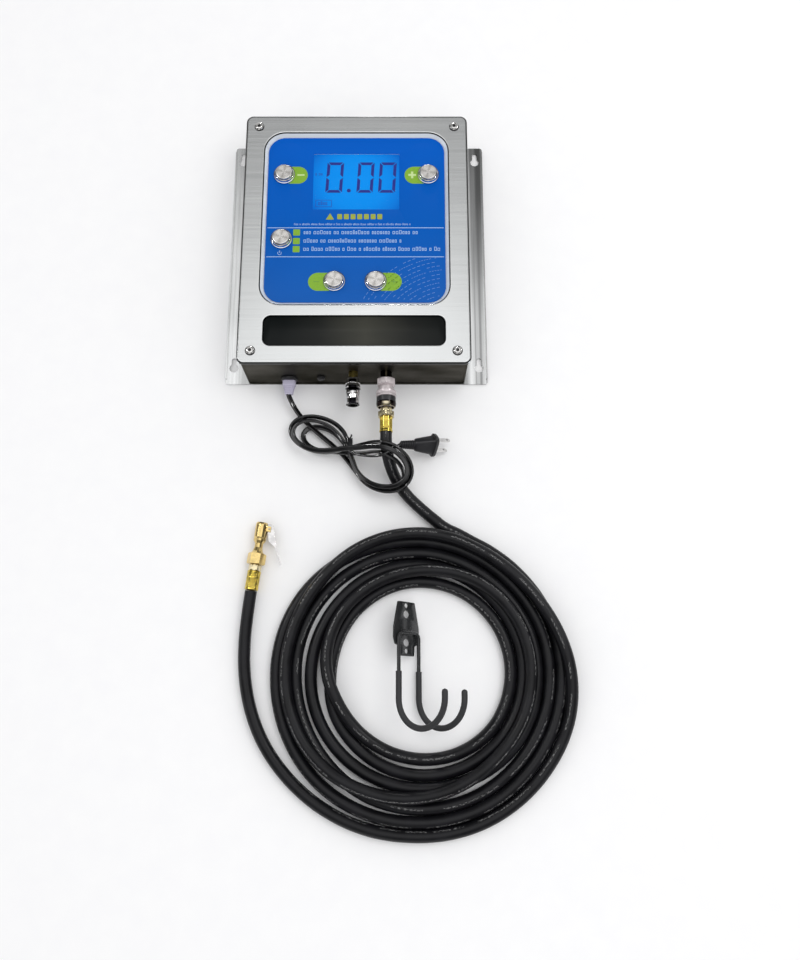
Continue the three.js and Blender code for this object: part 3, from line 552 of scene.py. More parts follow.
def bar(x0, y0, x1, y1, r=0.0):
    """An upright rectangle's outline, with round corners if r is given."""
    if r:
        return rounded(x1 - x0, y1 - y0, r, (x0 + x1) / 2, (y0 + y1) / 2, 4)
    return [(x0, y0), (x1, y0), (x1, y1), (x0, y1)]


# ---- materials ----
def srgb(code):
    """A #rrggbb colour as Blender's linear colour."""
    parts = [int(code[k:k + 2], 16) / 255 for k in (1, 3, 5)]
    return (*[p / 12.92 if p <= 0.04045 else ((p + 0.055) / 1.055) ** 2.4 for p in parts], 1.0)


def even(value):
    """A colour with the same value in all its channels."""
    return (value, value, value, 1)


def darker(colour, share):
    return (*[c * (1 - share) for c in colour[:3]], 1.0)


def look(name, colour, metallic=0.0, rough=0.5, **more):
    mat = bpy.data.materials.new(name)
    mat.use_nodes = True
    settings = {"Base Color": colour, "Metallic": metallic, "Roughness": rough}
    settings.update({key.replace("_", " "): value for key, value in more.items()})
    for key, value in settings.items():
        shader_of(mat).inputs[key].default_value = value
    return mat


def shader_of(mat):
    return mat.node_tree.nodes["Principled BSDF"]


def node(mat, kind, **settings):
    made = mat.node_tree.nodes.new("ShaderNode" + kind)
    for key, value in settings.items():
        setattr(made, key, value)
    return made


def wire(mat, source, target):
    """Sets a node's input to a plain number or colour, or links it to another node's output."""
    if isinstance(source, (int, float, tuple)):
        target.default_value = source
    else:
        mat.node_tree.links.new(getattr(source, "socket", source), target)


def maths(mat, how, *values):
    made = node(mat, "Math", operation=how)
    for value, socket in zip(values, made.inputs):
        wire(mat, value, socket)
    return Value(mat, made.outputs["Value"])


class Value:
    """A number that a material's nodes work out, with arithmetic that adds the nodes for it."""

    def __init__(self, mat, socket):
        self.mat = mat
        self.socket = socket

    def __add__(self, other):
        return maths(self.mat, "ADD", self, other)

    def __sub__(self, other):
        return maths(self.mat, "SUBTRACT", self, other)

    def __rsub__(self, number):
        return maths(self.mat, "SUBTRACT", number, self)

    def __mul__(self, other):
        return maths(self.mat, "MULTIPLY", self, other)

    def __abs__(self):
        return maths(self.mat, "ABSOLUTE", self)

    def __lt__(self, other):
        return maths(self.mat, "LESS_THAN", self, other)

    def __gt__(self, other):
        return maths(self.mat, "GREATER_THAN", self, other)

    def to(self, how, *others):
        """Any other operation of the Math node."""
        return maths(self.mat, how, self, *others)

    def spread(self, low, high, start=0.3, end=0.7):
        """The value, from start to end, carried to the range from low to high."""
        made = node(self.mat, "MapRange")
        for key, number in (("From Min", start), ("From Max", end), ("To Min", low), ("To Max", high)):
            made.inputs[key].default_value = number
        wire(self.mat, self, made.inputs["Value"])
        return Value(self.mat, made.outputs["Result"])

    def colours(self, *stops):
        """A colour by the value: stops are (position, colour)."""
        made = node(self.mat, "ValToRGB")
        band = made.color_ramp.elements
        while len(band) < len(stops):
            band.new(0.5)
        for item, (at, colour) in zip(band, stops):
            item.position = at
            item.color = colour
        wire(self.mat, self, made.inputs["Fac"])
        return made.outputs["Color"]


def distance(a, b):
    return (a * a + b * b).to("SQRT")


def feed(mat, source, socket):
    wire(mat, source, shader_of(mat).inputs[socket])


def fed(mat, socket):
    """What already feeds one of the shader's inputs."""
    return Value(mat, shader_of(mat).inputs[socket].links[0].from_socket)


def mixed(mat, share, first, second, blend="MIX"):
    """The first colour turning into the second by that share, or multiplied by it."""
    made = node(mat, "Mix", data_type="RGBA", blend_type=blend)
    wire(mat, share, made.inputs["Factor"])
    wire(mat, first, made.inputs[6])
    wire(mat, second, made.inputs[7])
    return made.outputs[2]


def place(mat, scale=(1, 1, 1), kind="Object"):
    """Texture coordinates: kind Object is the frame's own, in metres."""
    mapping = node(mat, "Mapping")
    mapping.inputs["Scale"].default_value = scale
    wire(mat, node(mat, "TexCoord").outputs[kind], mapping.inputs["Vector"])
    return mapping.outputs["Vector"]


def split(mat, vector):
    made = node(mat, "SeparateXYZ")
    wire(mat, vector, made.inputs["Vector"])
    return [Value(mat, made.outputs[axis]) for axis in "XYZ"]


def facing(mat):
    """The three parts of the surface's normal."""
    return split(mat, node(mat, "NewGeometry").outputs["Normal"])


def noise_at(mat, where, detail, rough=0.55):
    made = node(mat, "TexNoise")
    made.inputs["Scale"].default_value = 1.0
    made.inputs["Detail"].default_value = detail
    made.inputs["Roughness"].default_value = rough
    wire(mat, where, made.inputs["Vector"])
    return Value(mat, made.outputs["Fac"])


def noise(mat, scale, detail, rough=0.55):
    """Noise fixed to the piece. scale is its frequency per metre: one number, or one for each axis."""
    scale = scale if isinstance(scale, tuple) else (scale, scale, scale)
    return noise_at(mat, place(mat, scale), detail, rough)


def bump(mat, height, millimetres):
    made = node(mat, "Bump")
    made.inputs["Distance"].default_value = millimetres * MM
    made.inputs["Strength"].default_value = 1.0
    wire(mat, height, made.inputs["Height"])
    feed(mat, made.outputs["Normal"], "Normal")


def steel(name, colour, rough, grain=(6, 700, 6), streak=0.12, depth=0.004):
    """Brushed steel: grain is the brush marks' frequency along each axis, per metre."""
    mat = look(name, colour, 1.0, rough)
    marks = noise(mat, grain, 4.0, 0.7)
    tone = marks * 0.6 + noise(mat, 9, 2.0) * 0.4
    feed(mat, tone.colours((0.38, darker(colour, streak)), (0.6, colour)), "Base Color")
    feed(mat, marks.spread(rough * 0.75, rough * 1.3), "Roughness")
    bump(mat, marks, depth)
    return mat


PAINTED_RIM_W = 1.5                       # width of the painted dark reflection along the cover's rolled edge


def cover_look():
    """The cover: brushed steel, with a painted dark reflection line where its face turns down and round its
    rolled edge, and a painted pale bluish highlight on its polished recess wall.
    """
    mat = steel("brushed_stainless", (0.74, 0.755, 0.75, 1), 0.2)
    x, y, z = split(mat, place(mat))
    depth = FACE_Z * MM - z
    # Painted reflection by depth below the face: a dark line just under it, then a pale bluish highlight on
    # the recess wall.
    tone = (depth * 200).colours((0.014, even(1)), (0.03, even(0.03)), (0.2, even(0.03)),
                                 (0.26, (1.02, 1.06, 1.12, 1)))
    # Painted dark reflection along the rolled outer edge.
    past_x = abs(x) > (COVER_W / 2 - PAINTED_RIM_W) * MM
    past_y = abs(y) > (COVER_H / 2 - PAINTED_RIM_W) * MM
    rim = past_x.to("MAXIMUM", past_y) * depth.spread(0.0, 1.0, 0.0001, 0.0003)
    tone = mixed(mat, rim, tone, even(0.08))
    feed(mat, mixed(mat, 1.0, fed(mat, "Base Color"), tone, "MULTIPLY"), "Base Color")
    feed(mat, rim.to("MAXIMUM", depth.spread(1.0, 0.1, 0.0010, 0.0013)), "Metallic")
    return mat


# The flanges' painted bands of reflection and shade, as (place from left to right, tone): the left flange,
# then the right one's two ends.
LEFT_REFLECTION_BANDS = [(0.0, 0.5), (0.012, 1.2), (0.06, 1.15), (0.08, 0.75)]
UPPER_REFLECTION_BANDS = [(0.915, 0.5), (0.93, 1.0), (0.935, 1.0), (0.94, 0.43), (0.957, 0.43), (0.963, 0.2),
               (0.982, 0.22), (0.987, 1.1), (0.99, 0.1)]
LOWER_REFLECTION_BANDS = [(0.915, 0.5), (0.93, 1.1), (0.935, 1.1), (0.939, 0.95), (0.944, 0.95), (0.948, 0.45),
               (0.953, 0.75), (0.962, 0.75), (0.966, 0.4), (0.97, 0.4), (0.975, 0.85), (0.98, 0.85),
               (0.986, 1.1), (0.99, 0.1)]


def flange_look():
    """The back panel: streaky polish, with painted bands of reflection and shade that run up its two flanges.
    """
    mat = steel("streaky_steel", (0.74, 0.75, 0.745, 1), 0.12, (190, 4, 190), 0.3, 0.02)
    x, y, _ = split(mat, place(mat))
    # Painted reflection and shade: tones by place across the panel, mixed between the upper and lower ends by
    # height.
    across = x.spread(0.0, 1.0, -0.15, 0.15)
    upper, lower = (across.colours(*[(at, even(tone)) for at, tone in LEFT_REFLECTION_BANDS + bands])
                    for bands in (UPPER_REFLECTION_BANDS, LOWER_REFLECTION_BANDS))
    tone = mixed(mat, y.spread(1.0, 0.0, -0.08, 0.08), upper, lower)
    feed(mat, mixed(mat, 1.0, fed(mat, "Base Color"), tone, "MULTIPLY"), "Base Color")
    return mat


def case_look():
    """The case: streaky polished sheet, whose downward-facing lower wall has a painted dark reflection of
    dark surroundings.
    """
    mat = steel("case_steel", (0.62, 0.62, 0.61, 1), 0.16, (300, 20, 300), 0.25, 0.005)
    # Painted dark reflection on the wall that faces down, with a mottle.
    down = facing(mat)[1] < -0.6
    dark_reflection_mottle = noise(mat, (14, 14, 30), 3.0)
    dark = dark_reflection_mottle.colours((0.3, (0.06, 0.06, 0.056, 1)), (0.7, (0.17, 0.165, 0.155, 1)))
    feed(mat, mixed(mat, down, fed(mat, "Base Color"), dark), "Base Color")
    feed(mat, mixed(mat, down, even(1), (0.3, 0.29, 0.27, 1)), "Specular Tint")
    feed(mat, fed(mat, "Roughness") + down * 0.2, "Roughness")
    return mat


def plating(name, colour, rough=0.12, wear=0.25):
    """Polished plating or brass: faint smudges, and fine turning marks."""
    mat = look(name, colour, 1.0, rough)
    smudge = noise(mat, 140, 4.0)
    feed(mat, smudge.colours((0.3, darker(colour, wear)), (0.6, colour)), "Base Color")
    feed(mat, smudge.spread(rough * 1.9, rough * 0.7), "Roughness")
    bump(mat, noise(mat, (300, 2600, 300), 2.0), 0.01)
    return mat


def banded(name, colour, y0, y1, stops, side=(0.45, 0.6)):
    """Mirror plating whose upper side has painted bands of reflection, light and dark, from y1 down to y0, in
    mm.
    """
    mat = plating(name, colour, 0.07)
    bands = split(mat, place(mat))[1].spread(0.0, 1.0, y0 * MM, y1 * MM).colours(*stops)
    above = abs(facing(mat)[0]).spread(1.0, 0.0, *side)
    feed(mat, mixed(mat, above, fed(mat, "Base Color"), bands), "Base Color")
    return mat


def plastic(name, colour, rough=0.45, grain=1500, depth=0.02, **more):
    """Moulded plastic or rubber: fine grain, and a slight unevenness of colour and sheen."""
    mat = look(name, colour, 0.0, rough, **more)
    cloud = noise(mat, 60, 3.0)
    pale = (*[min(1.0, c * 1.25 + 0.002) for c in colour[:3]], 1.0)
    feed(mat, cloud.colours((0.35, colour), (0.7, pale)), "Base Color")
    feed(mat, cloud.spread(rough * 0.85, min(1.0, rough * 1.2)), "Roughness")
    bump(mat, noise(mat, grain, 2.0), depth)
    return mat


def ink(name, colour, rough=0.4, glow=0.0):
    """Screen-printed ink, with a trace of the print's mottle."""
    mat = look(name, colour, 0.0, rough)
    mottle = noise(mat, 900, 2.0)
    feed(mat, mottle.colours((0.3, darker(colour, 0.14)), (0.6, colour)), "Base Color")
    if glow:
        feed(mat, colour, "Emission Color")
        feed(mat, glow, "Emission Strength")
    bump(mat, mottle, 0.004)
    return mat


def panel_look():
    """The blue panel film: deeper at its top than at its foot, with a fine texture."""
    mat = look("panel_film", srgb("#0b5ed8"), 0.0, 0.3, Specular_IOR_Level=0.06)
    height = split(mat, place(mat))[1].spread(0, 1, -0.078, 0.124)
    blue = height.colours((0.0, srgb("#1a5aac")), (0.45, srgb("#0357b2")), (1.0, srgb("#0059be")))
    feed(mat, blue, "Base Color")
    fine = noise(mat, 1800, 2.0)
    feed(mat, fine.spread(0.26, 0.38), "Roughness")
    bump(mat, fine, 0.012)
    return mat


def screen_look():
    """The lit liquid-crystal screen: brightest in its middle, dim at its frame."""
    mat = look("lit_screen", (0.0, 0.006, 0.03, 1), 0.0, 0.5, Specular_IOR_Level=0.1, Emission_Strength=1.0)
    x, y, _ = split(mat, place(mat))
    away = distance(x * 0.92, y - (DISPLAY_Y - 1) * MM)
    glow = (away + noise(mat, 2500, 1.0) * 0.0015).colours(
        (0.0, srgb("#0298fb")), (0.033, srgb("#0191f4")), (0.048, srgb("#007de2")), (0.062, srgb("#0158bf")))
    feed(mat, glow, "Emission Color")
    return mat


def smoked_look():
    """Smoked acrylic: near black at its ends, with a paler painted reflection across its middle."""
    mat = look("smoked_acrylic", (0.01, 0.012, 0.012, 1), 0.0, 0.12, Specular_IOR_Level=0.1)
    off = abs(split(mat, place(mat))[0] - 0.012)
    smear_and_reflection_noise = noise(mat, (12, 40, 12), 2.0)
    # Painted reflection: paler near x = 12 mm, darker towards the ends; the noise also gives smears in the
    # roughness.
    feed(mat, (off + smear_and_reflection_noise * 0.02).colours((0.012, (0.045, 0.045, 0.037, 1)), (0.06, (0.014, 0.015, 0.014, 1)),
                                          (0.1, (0.0045, 0.006, 0.006, 1))), "Base Color")
    feed(mat, smear_and_reflection_noise.spread(0.08, 0.2), "Roughness")
    return mat


def clear_look():
    """The screen's thin clear window: nearly all light passes, and faint smears dull its shine."""
    mat = look("clear_lens", (0.0, 0.02, 0.08, 1), 0.0, 0.1, Alpha=0.05, Specular_IOR_Level=0.1)
    feed(mat, noise(mat, (50, 90, 50), 3.0).spread(0.06, 0.16), "Roughness")
    return mat


def cap_look():
    """A button's face, faced on a lathe: rings round its middle and a painted cross-shaped sheen."""
    mat = look("turned_face", (0.62, 0.6, 0.57, 1.0), 1.0, 0.3)
    x, y, _ = split(mat, place(mat, kind="Generated"))
    x = x - 0.5
    y = y - 0.5
    made = node(mat, "TexNoise", noise_dimensions="1D")
    made.inputs["Scale"].default_value = 90
    made.inputs["Detail"].default_value = 3
    wire(mat, distance(x, y), made.inputs["W"])
    rings = Value(mat, made.outputs["Fac"])
    # Painted sheen: four bright lobes round the middle, by angle.
    painted_cross_sheen = abs((y.to("ARCTAN2", x) * 2.0 + 0.5).to("SINE"))
    sheen = (painted_cross_sheen * 0.5 + rings * 0.5).colours((0.2, (0.48, 0.46, 0.43, 1)), (0.75, (0.82, 0.8, 0.77, 1)))
    feed(mat, sheen, "Base Color")
    feed(mat, rings.spread(0.24, 0.42), "Roughness")
    bump(mat, rings, 0.03)
    return mat


def hose_look():
    """Black rubber with a soft sheen, dust, and a line of small pale marks printed along it."""
    mat = look("hose_rubber", (0.004, 0.004, 0.005, 1), 0.0, 0.4, Specular_IOR_Level=0.3)
    along, around, _ = split(mat, place(mat, kind="UV"))
    line = around - ((along * 1.9).to("SINE") * 0.2 + 0.25)
    band = abs(line) < 0.021
    glyph = node(mat, "CombineXYZ")
    wire(mat, along * 330, glyph.inputs["X"])
    wire(mat, line * 62, glyph.inputs["Y"])
    glyphs = noise_at(mat, glyph.outputs["Vector"], 1.0) > 0.53
    word = node(mat, "CombineXYZ")
    wire(mat, along * 38, word.inputs["X"])
    words = noise_at(mat, word.outputs["Vector"], 0.0) > 0.44
    cloud = noise(mat, 45, 4.0)
    black = cloud.colours((0.35, (0.0025, 0.0025, 0.0035, 1)), (0.75, (0.008, 0.008, 0.0105, 1)))
    feed(mat, mixed(mat, band * glyphs * words * 0.2, black, (0.75, 0.75, 0.74, 1)), "Base Color")
    feed(mat, cloud.spread(0.34, 0.46), "Roughness")
    bump(mat, noise(mat, 1300, 3.0), 0.05)
    return mat


# ---- the case ----
def pick(bm, rows, outline_at):
    """Joined loops from (size, height) rows; returns the first and last loops."""
    loops = [loop(bm, outline_at(size), z) for size, z in rows]
    for low, high in zip(loops[:-1], loops[1:]):
        strip(bm, low, high)
    return loops[0], loops[-1]


# Rolled edges, as (distance outwards, height from the cover's face).
COVER_EDGE = [(0, -3.9), (0, -2.2), (-0.3, -1.1), (-0.95, -0.35), (-2.1, 0), (-2.8, 0)]
RECESS_EDGE = [(6.7, 0), (6.0, 0), (5.4, -0.15), (4.9, -0.6), (1.75, -4.95), (1.3, -5.4), (0.6, -5.5),
               (0, -5.5)]
WINDOW_EDGE = [(1.4, 0), (0.8, 0), (0.25, -0.25), (0, -0.8)]
SHEET = 1.4


def cover_outline(grow):
    return rounded(COVER_W + 2 * grow, COVER_H + 2 * grow, COVER_R + grow)


def panel_outline(grow):
    return rounded(PANEL_W + 2 * grow, PANEL_H + 2 * grow, PANEL_R + grow, 0, PANEL_Y)


def window_outline(grow):
    return rounded(WINDOW_W + 2 * grow, WINDOW_H + 2 * grow, WINDOW_R + grow, 0, WINDOW_Y)


def display_outline(grow):
    return rounded(DISPLAY_W + 2 * grow, DISPLAY_H + 2 * grow, 1 + max(0, grow), 0, DISPLAY_Y, 4)


def button_holes(r):
    return [circle(r, *BUTTON_AT[n]) for n in BUTTON_NAMES]


def raised(rows):
    return [(size, FACE_Z + z) for size, z in rows]


def make_cover(mat):
    """The pressed sheet: rolled outer edge, sloped recess for the panel, window and screw holes."""
    bm = bmesh.new()
    _, face = pick(bm, raised(COVER_EDGE), cover_outline)
    rim, floor = pick(bm, raised(RECESS_EDGE), panel_outline)
    window, _ = pick(bm, raised(WINDOW_EDGE), window_outline)
    screws = [loop(bm, circle(SCREW_HOLE, x, y, 24), FACE_Z)
              for x in (-SCREW_X, SCREW_X) for y in (-SCREW_Y, SCREW_Y)]
    fill(bm, [face, rim, window, *screws])
    holes = [display_outline(0.2), *button_holes(HOUSING_HOLE)]
    openings = [loop(bm, line, FLOOR_OF_RECESS) for line in holes]
    fill(bm, [floor, *openings])
    bmesh.ops.recalc_face_normals(bm, faces=bm.faces)
    top = max(bm.faces, key=lambda f: f.calc_area())
    if top.normal.z < 0:
        bmesh.ops.reverse_faces(bm, faces=bm.faces)
    made = from_bmesh("cover_sheet", bm)
    thick = made.modifiers.new("thick", "SOLIDIFY")
    thick.thickness = SHEET * MM
    thick.offset = -1
    apply_modifiers(made)
    return done(made, mat, "stainless", BODY, "front_cover", degrees=30)


def make_panel(mat):
    made = plate_mesh("panel_film", panel_outline(0.9), [display_outline(0), *button_holes(HOUSING_HOLE)],
                      PANEL_BACK, PANEL_Z, 0.2)
    return done(made, mat, "fascia_label", BODY, "fascia_panel")


def make_window(mat):
    made = plate_mesh("window_pane", window_outline(-0.35), [], WINDOW_BACK + 0.4, FACE_Z - 1.6, 0.4)
    return done(made, mat, "smoked_acrylic", BODY, "lower_window")


def make_lens(mat):
    made = plate_mesh("screen_lens", display_outline(-0.35), [], LENS_BACK, LENS_Z, 0.2)
    return done(made, mat, "display_glass", BODY, "display_lens")


def make_screws(mat, black):
    """Button-head screws with a hexagon socket, each on a thin black washer that also stands in for the shade
    under its head, and with a black disc of painted shade at the socket's bottom.
    """
    z = FACE_Z
    for k in range(1, 5):
        x, y, _ = middle(f"cover_screw_{k}")
        rows = [(2.6, z - 6), (2.6, z + 0.3), (4.75, z + 0.3), (4.75, z + 0.9), (4.55, z + 1.8),
                (4.0, z + 2.5), (3.1, z + 2.9), (2.45, z + 3.0), (hexa(3.5, True), z + 2.92),
                (hexa(3.4, True), z + 1.3)]
        made = turned(f"screw_{k}", solid_rows(rows), Z_AXIS, (x, y, 0), 48)
        done(made, mat, "screw_steel", BODY, f"cover_screw_{k}")
        # A thin black washer, dark like the shade under the head.
        washer = [(3.0, z + 0.02), (5.5, z + 0.02), (5.5, z + 0.28), (3.0, z + 0.28)]
        done(turned(f"screw_shade_washer_{k}", washer, Z_AXIS, (x, y, 0), 40), black, "gasket_rubber", BODY)
        # A black disc at the socket's bottom: painted shade in the socket.
        foot = solid_rows([(hexa(3.38, True), z + 1.3), (hexa(3.38, True), z + 1.42)])
        done(turned(f"screw_socket_shade_{k}", foot, Z_AXIS, (x, y, 0), 48), black, "black_paint", BODY)


CAP_TRAVEL = 2.7                # depth of the cup under a cap, a little more than its stroke


def make_buttons(bezel, face):
    """Each button: a polished bezel round a flat cap that was faced on a lathe."""
    for name in BUTTON_NAMES:
        x, y = BUTTON_AT[name]
        low = node_box(f"button_housing_{name}")[0][2]
        base, foot = PANEL_Z + 0.3, node_box(f"button_cap_{name}")[0][2]
        rows = [(0, low), (10.4, low), (10.4, base), (12.0, base), (12.0, base + 0.7), (11.75, base + 1.15),
                (11.1, base + 1.35), (10.55, base + 2.6), (10.35, base + 3.2), (10.05, base + 3.52),
                (9.75, base + 3.6), (9.55, base + 3.4), (9.55, foot - CAP_TRAVEL), (0, foot - CAP_TRAVEL)]
        made = turned(f"bezel_{name}", rows, Z_AXIS, (x, y, 0))
        done(made, bezel, "button_bezel", BODY, f"button_housing_{name}")
        top = base + 5.8
        rows = [(9.2, foot), (9.2, top - 0.9), (9.1, top - 0.45), (8.8, top - 0.12), (8.35, top),
                (7.4, top - 0.03)]
        made = turned(f"cap_{name}", solid_rows(rows), Z_AXIS, (x, y, 0))
        done(made, face, "button_cap_steel", f"{name}_button", f"button_cap_{name}")


# ---- the panel's print ----
INK = 0.07                      # thickness of the print


def printed(name, mat, outlines, z=PANEL_Z, slot="fascia_label"):
    """Printed shapes of one colour, as one piece. A shape with holes is given as (outline, holes)."""
    bm = bmesh.new()
    for line in outlines:
        holes = []
        if isinstance(line, tuple):
            line, holes = line
        lows = [loop(bm, shape, z + 0.01) for shape in (line, *holes)]
        highs = [loop(bm, shape, z + INK) for shape in (line, *holes)]
        for low, high in zip(lows, highs):
            strip(bm, low, high)
        fill(bm, lows)
        fill(bm, highs)
    bmesh.ops.recalc_face_normals(bm, faces=bm.faces)
    return done(from_bmesh(name, bm), mat, slot, BODY, degrees=20)


def pad_outline(button, end_x, half=10.75, flange=11.6, drop=0.0):
    """A lime pad that runs from under a button's flange to a round end at end_x."""
    x, y = BUTTON_AT[button]
    side = math.copysign(1, end_x - x)
    edge = math.asin(half / flange)
    ends = ((x, flange, np.linspace(edge, -edge, 16)),
            (end_x - side * half, half, np.linspace(-math.pi / 2, math.pi / 2, 20)))
    return [(cx + side * r * math.cos(a), y + drop + r * math.sin(a))
            for cx, r, angles in ends for a in angles]


def sign(x, y, size, thick, plus):
    """A minus or a plus sign."""
    s, t = size / 2, thick / 2
    if not plus:
        return bar(x - s, y - t, x + s, y + t)
    return [(x - s, y - t), (x - t, y - t), (x - t, y - s), (x + t, y - s), (x + t, y - t), (x + s, y - t),
            (x + s, y + t), (x + t, y + t), (x + t, y + s), (x - t, y + s), (x - t, y + t), (x - s, y + t)]


def blocks(x0, x1, y, height, seed):
    """Stand-in for a line of words: rows of small blocks, with gaps between the words."""
    out, x, k = [], x0, seed
    while x < x1 - 1.5:
        k = (k * 37 + 11) % 101
        wide = height * (0.5 + 0.26 * (k % 3) / 2)
        tall = height * (1.35 if k % 4 == 0 else 1.0)
        right, wall = min(x + wide, x1), height * 0.17
        out.append((bar(x, y, right, y + tall), [bar(x + wall, y + wall, right - wall, y + tall - wall)]))
        x += wide + height * (0.9 if k % 6 == 1 else 0.28)
    return out


ARCS_X, ARCS_Y = 104, -128       # the point that the arcs are drawn round


def arcs():
    """A pattern of broken arcs across the panel's lower right corner."""
    out = []
    for k, r in enumerate(range(44, 112, 5)):
        dash = 5.5 if k % 3 else 3.0
        count = int(math.pi * r / 2 / dash)
        for i in range(count):
            if (i * 5 + k) % 7 == 0:
                continue
            a0 = math.pi / 2 + (i + 0.15) * dash / r
            a1 = a0 + 0.62 * dash / r
            line = []
            for radius, a, b in ((r - 0.22, a0, a1), (r + 0.22, a1, a0)):
                line += [polar(ARCS_X, ARCS_Y, radius, t) for t in (a, (a + b) / 2, b)]
            if all(x < 96 and y > -75.5 and inside_panel(x, y) for x, y in line):
                out.append(line)
    return out


def inside_panel(x, y, margin=1.5):
    dx = max(0.0, abs(x) - (PANEL_W / 2 - PANEL_R))
    dy = max(0.0, abs(y - PANEL_Y) - (PANEL_H / 2 - PANEL_R))
    return math.hypot(dx, dy) < PANEL_R - margin and y < -24.8


def slanted(outline, foot, slant=0.055):
    """The outline leaning to the right above its foot line."""
    return [(x + slant * (y - foot), y) for x, y in outline]


def nought(x0, x1, y0, y1, t=3.4):
    """The six lit bars of a nought on a seven-bar display, with mitred ends."""
    ym, g = (y0 + y1) / 2, 0.45
    side = [(0, y1 - g), (0, ym + g), (t * 0.5, ym + g + 1.2), (t, ym + g + 3.0), (t, y1 - t - g)]
    bars = [[(x0 + x, y) for x, y in side], [(x1 - x, y) for x, y in side]]
    bars += [[(x, y0 + y1 - y) for x, y in line] for line in bars]
    bars += [[(x0 + 1.3, y), (x1 - 1.3, y), (x1 - t - 0.6, y + rise), (x0 + t + 0.6, y + rise)]
             for y, rise in ((y1, -t), (y0, t))]
    return [slanted(line, y0) for line in bars]


POWER_X, POWER_Y = -83, -19.4


def power_sign():
    """A ring open at its top, and the bar in its gap."""
    ring = [polar(POWER_X, POWER_Y, r, a) for r, start, end in ((2.3, 2.3, 7.12), (1.75, 7.12, 2.3))
            for a in np.linspace(start, end, 20)]
    return [bar(POWER_X - 0.3, -19.2, POWER_X + 0.3, -16.2), ring]


def make_print():
    lime, pale_lime, dull_lime, pale, yellow, faint = (
        ink(name, srgb(code)) for name, code in (
            ("lime", "#7fae22"), ("pale_lime", "#c3dc94"), ("dull_lime", "#6b9a35"), ("pale_blue", "#a3c0e8"),
            ("lime_yellow", "#9da636"), ("faint_blue", "#6f97d2")))
    navy = ink("navy", (0.001, 0.008, 0.2, 1), 0.5, 0.35)
    navy_faint = ink("navy_faint", (0.001, 0.025, 0.27, 1), 0.5, 0.4)
    pads = [pad_outline("minus", -54.3, drop=-0.8), pad_outline("plus", 54.0, drop=-0.8),
            pad_outline("lower_left", -51.0, drop=-0.7), pad_outline("lower_right", 51.0, drop=-0.7)]
    squares = [bar(-68.7, y - 3.8, -61.1, y + 3.8, 0.8) for y in (5.6, -4.9, -14.7)]
    printed("print_pads", lime, pads + squares)
    high = PANEL_Z + INK
    signs = [sign(-62.0, 76.9, 8.0, 1.9, False), sign(62.6, 77.0, 8.6, 2.5, True)]
    printed("print_signs", pale_lime, signs, high)
    signs = [sign(-42.0, -53.6, 6.0, 0.9, False), sign(42.4, -53.6, 6.0, 0.9, True)]
    printed("print_signs_low", dull_lime, signs, high)
    rules = [bar(-97.2, 10.9, 97.2, 11.7), bar(-97.2, -24.3, 97.2, -23.5)]
    lines = ((-57, 72.7, 3.6, 3.5, 3), (-57, 50.3, -6.6, 3.5, 5), (-57, 94.8, -16.6, 3.5, 9),
             (-68, 62, 14.6, 1.7, 7))
    words = [block for line in lines for block in blocks(*line)]
    printed("print_words", pale, rules + words + power_sign())
    printed("print_arcs", faint, arcs())
    triangle = [(-33, 21.4), (-24, 21.4), (-28.5, 29.2)]
    mark = [triangle] + [bar(-20.5 + 7.4 * k, 21.8, -15.1 + 7.4 * k, 28.2, 0.7) for k in range(7)]
    printed("print_mark", yellow, mark)
    digits = [part for ends in ((-34.6, -15.9), (0.2, 18.4), (24.4, 43.3))
              for part in nought(*ends, 55.4, 93.6)]
    digits.append(circle(2.3, -8.2, 58.0, 20))
    face = node_box("display_module")[1][2]
    printed("screen_digits", navy, digits, face, "display_backlight")
    small = [(bar(-45, 37.6, -27, 46.4), [bar(-44.5, 38.1, -27.5, 45.9)])]
    small += blocks(-42, -30, 40.2, 3.2, 4) + blocks(-46, -37.5, 77.2, 2.6, 6)
    printed("screen_marks", navy_faint, small, face, "display_backlight")


# ---- fittings on the lower wall ----
def crimped(y0, y1, r, pattern, depth=0.45):
    """Rows of a crimped ferrule between two plain bands. pattern gives the depth by angle and share."""
    rows = [(r - 0.3, y0), (r + 0.1, y0 + 0.35), (r + 0.1, y0 + 1.3)]
    steps = 18
    for k in range(steps + 1):
        share = k / steps
        y = y0 + 1.8 + (y1 - y0 - 3.6) * share
        rows.append((lambda a, s=share: r - depth * pattern(a, s), y))
    return rows + [(r + 0.1, y1 - 1.3), (r + 0.1, y1 - 0.35), (r - 0.3, y1)]


def fade_in(share):
    """Rises from 0 at either end of a crimp to 1."""
    return min(1, share * 9, (1 - share) * 9)


def flutes(angle, share):
    return fade_in(share) * (0.5 + 0.5 * math.cos(8 * angle)) ** 0.7


def diamonds(angle, share):
    return fade_in(share) * abs(math.sin(4 * angle + share * 7)) * abs(math.sin(4 * angle - share * 7)) * 1.3


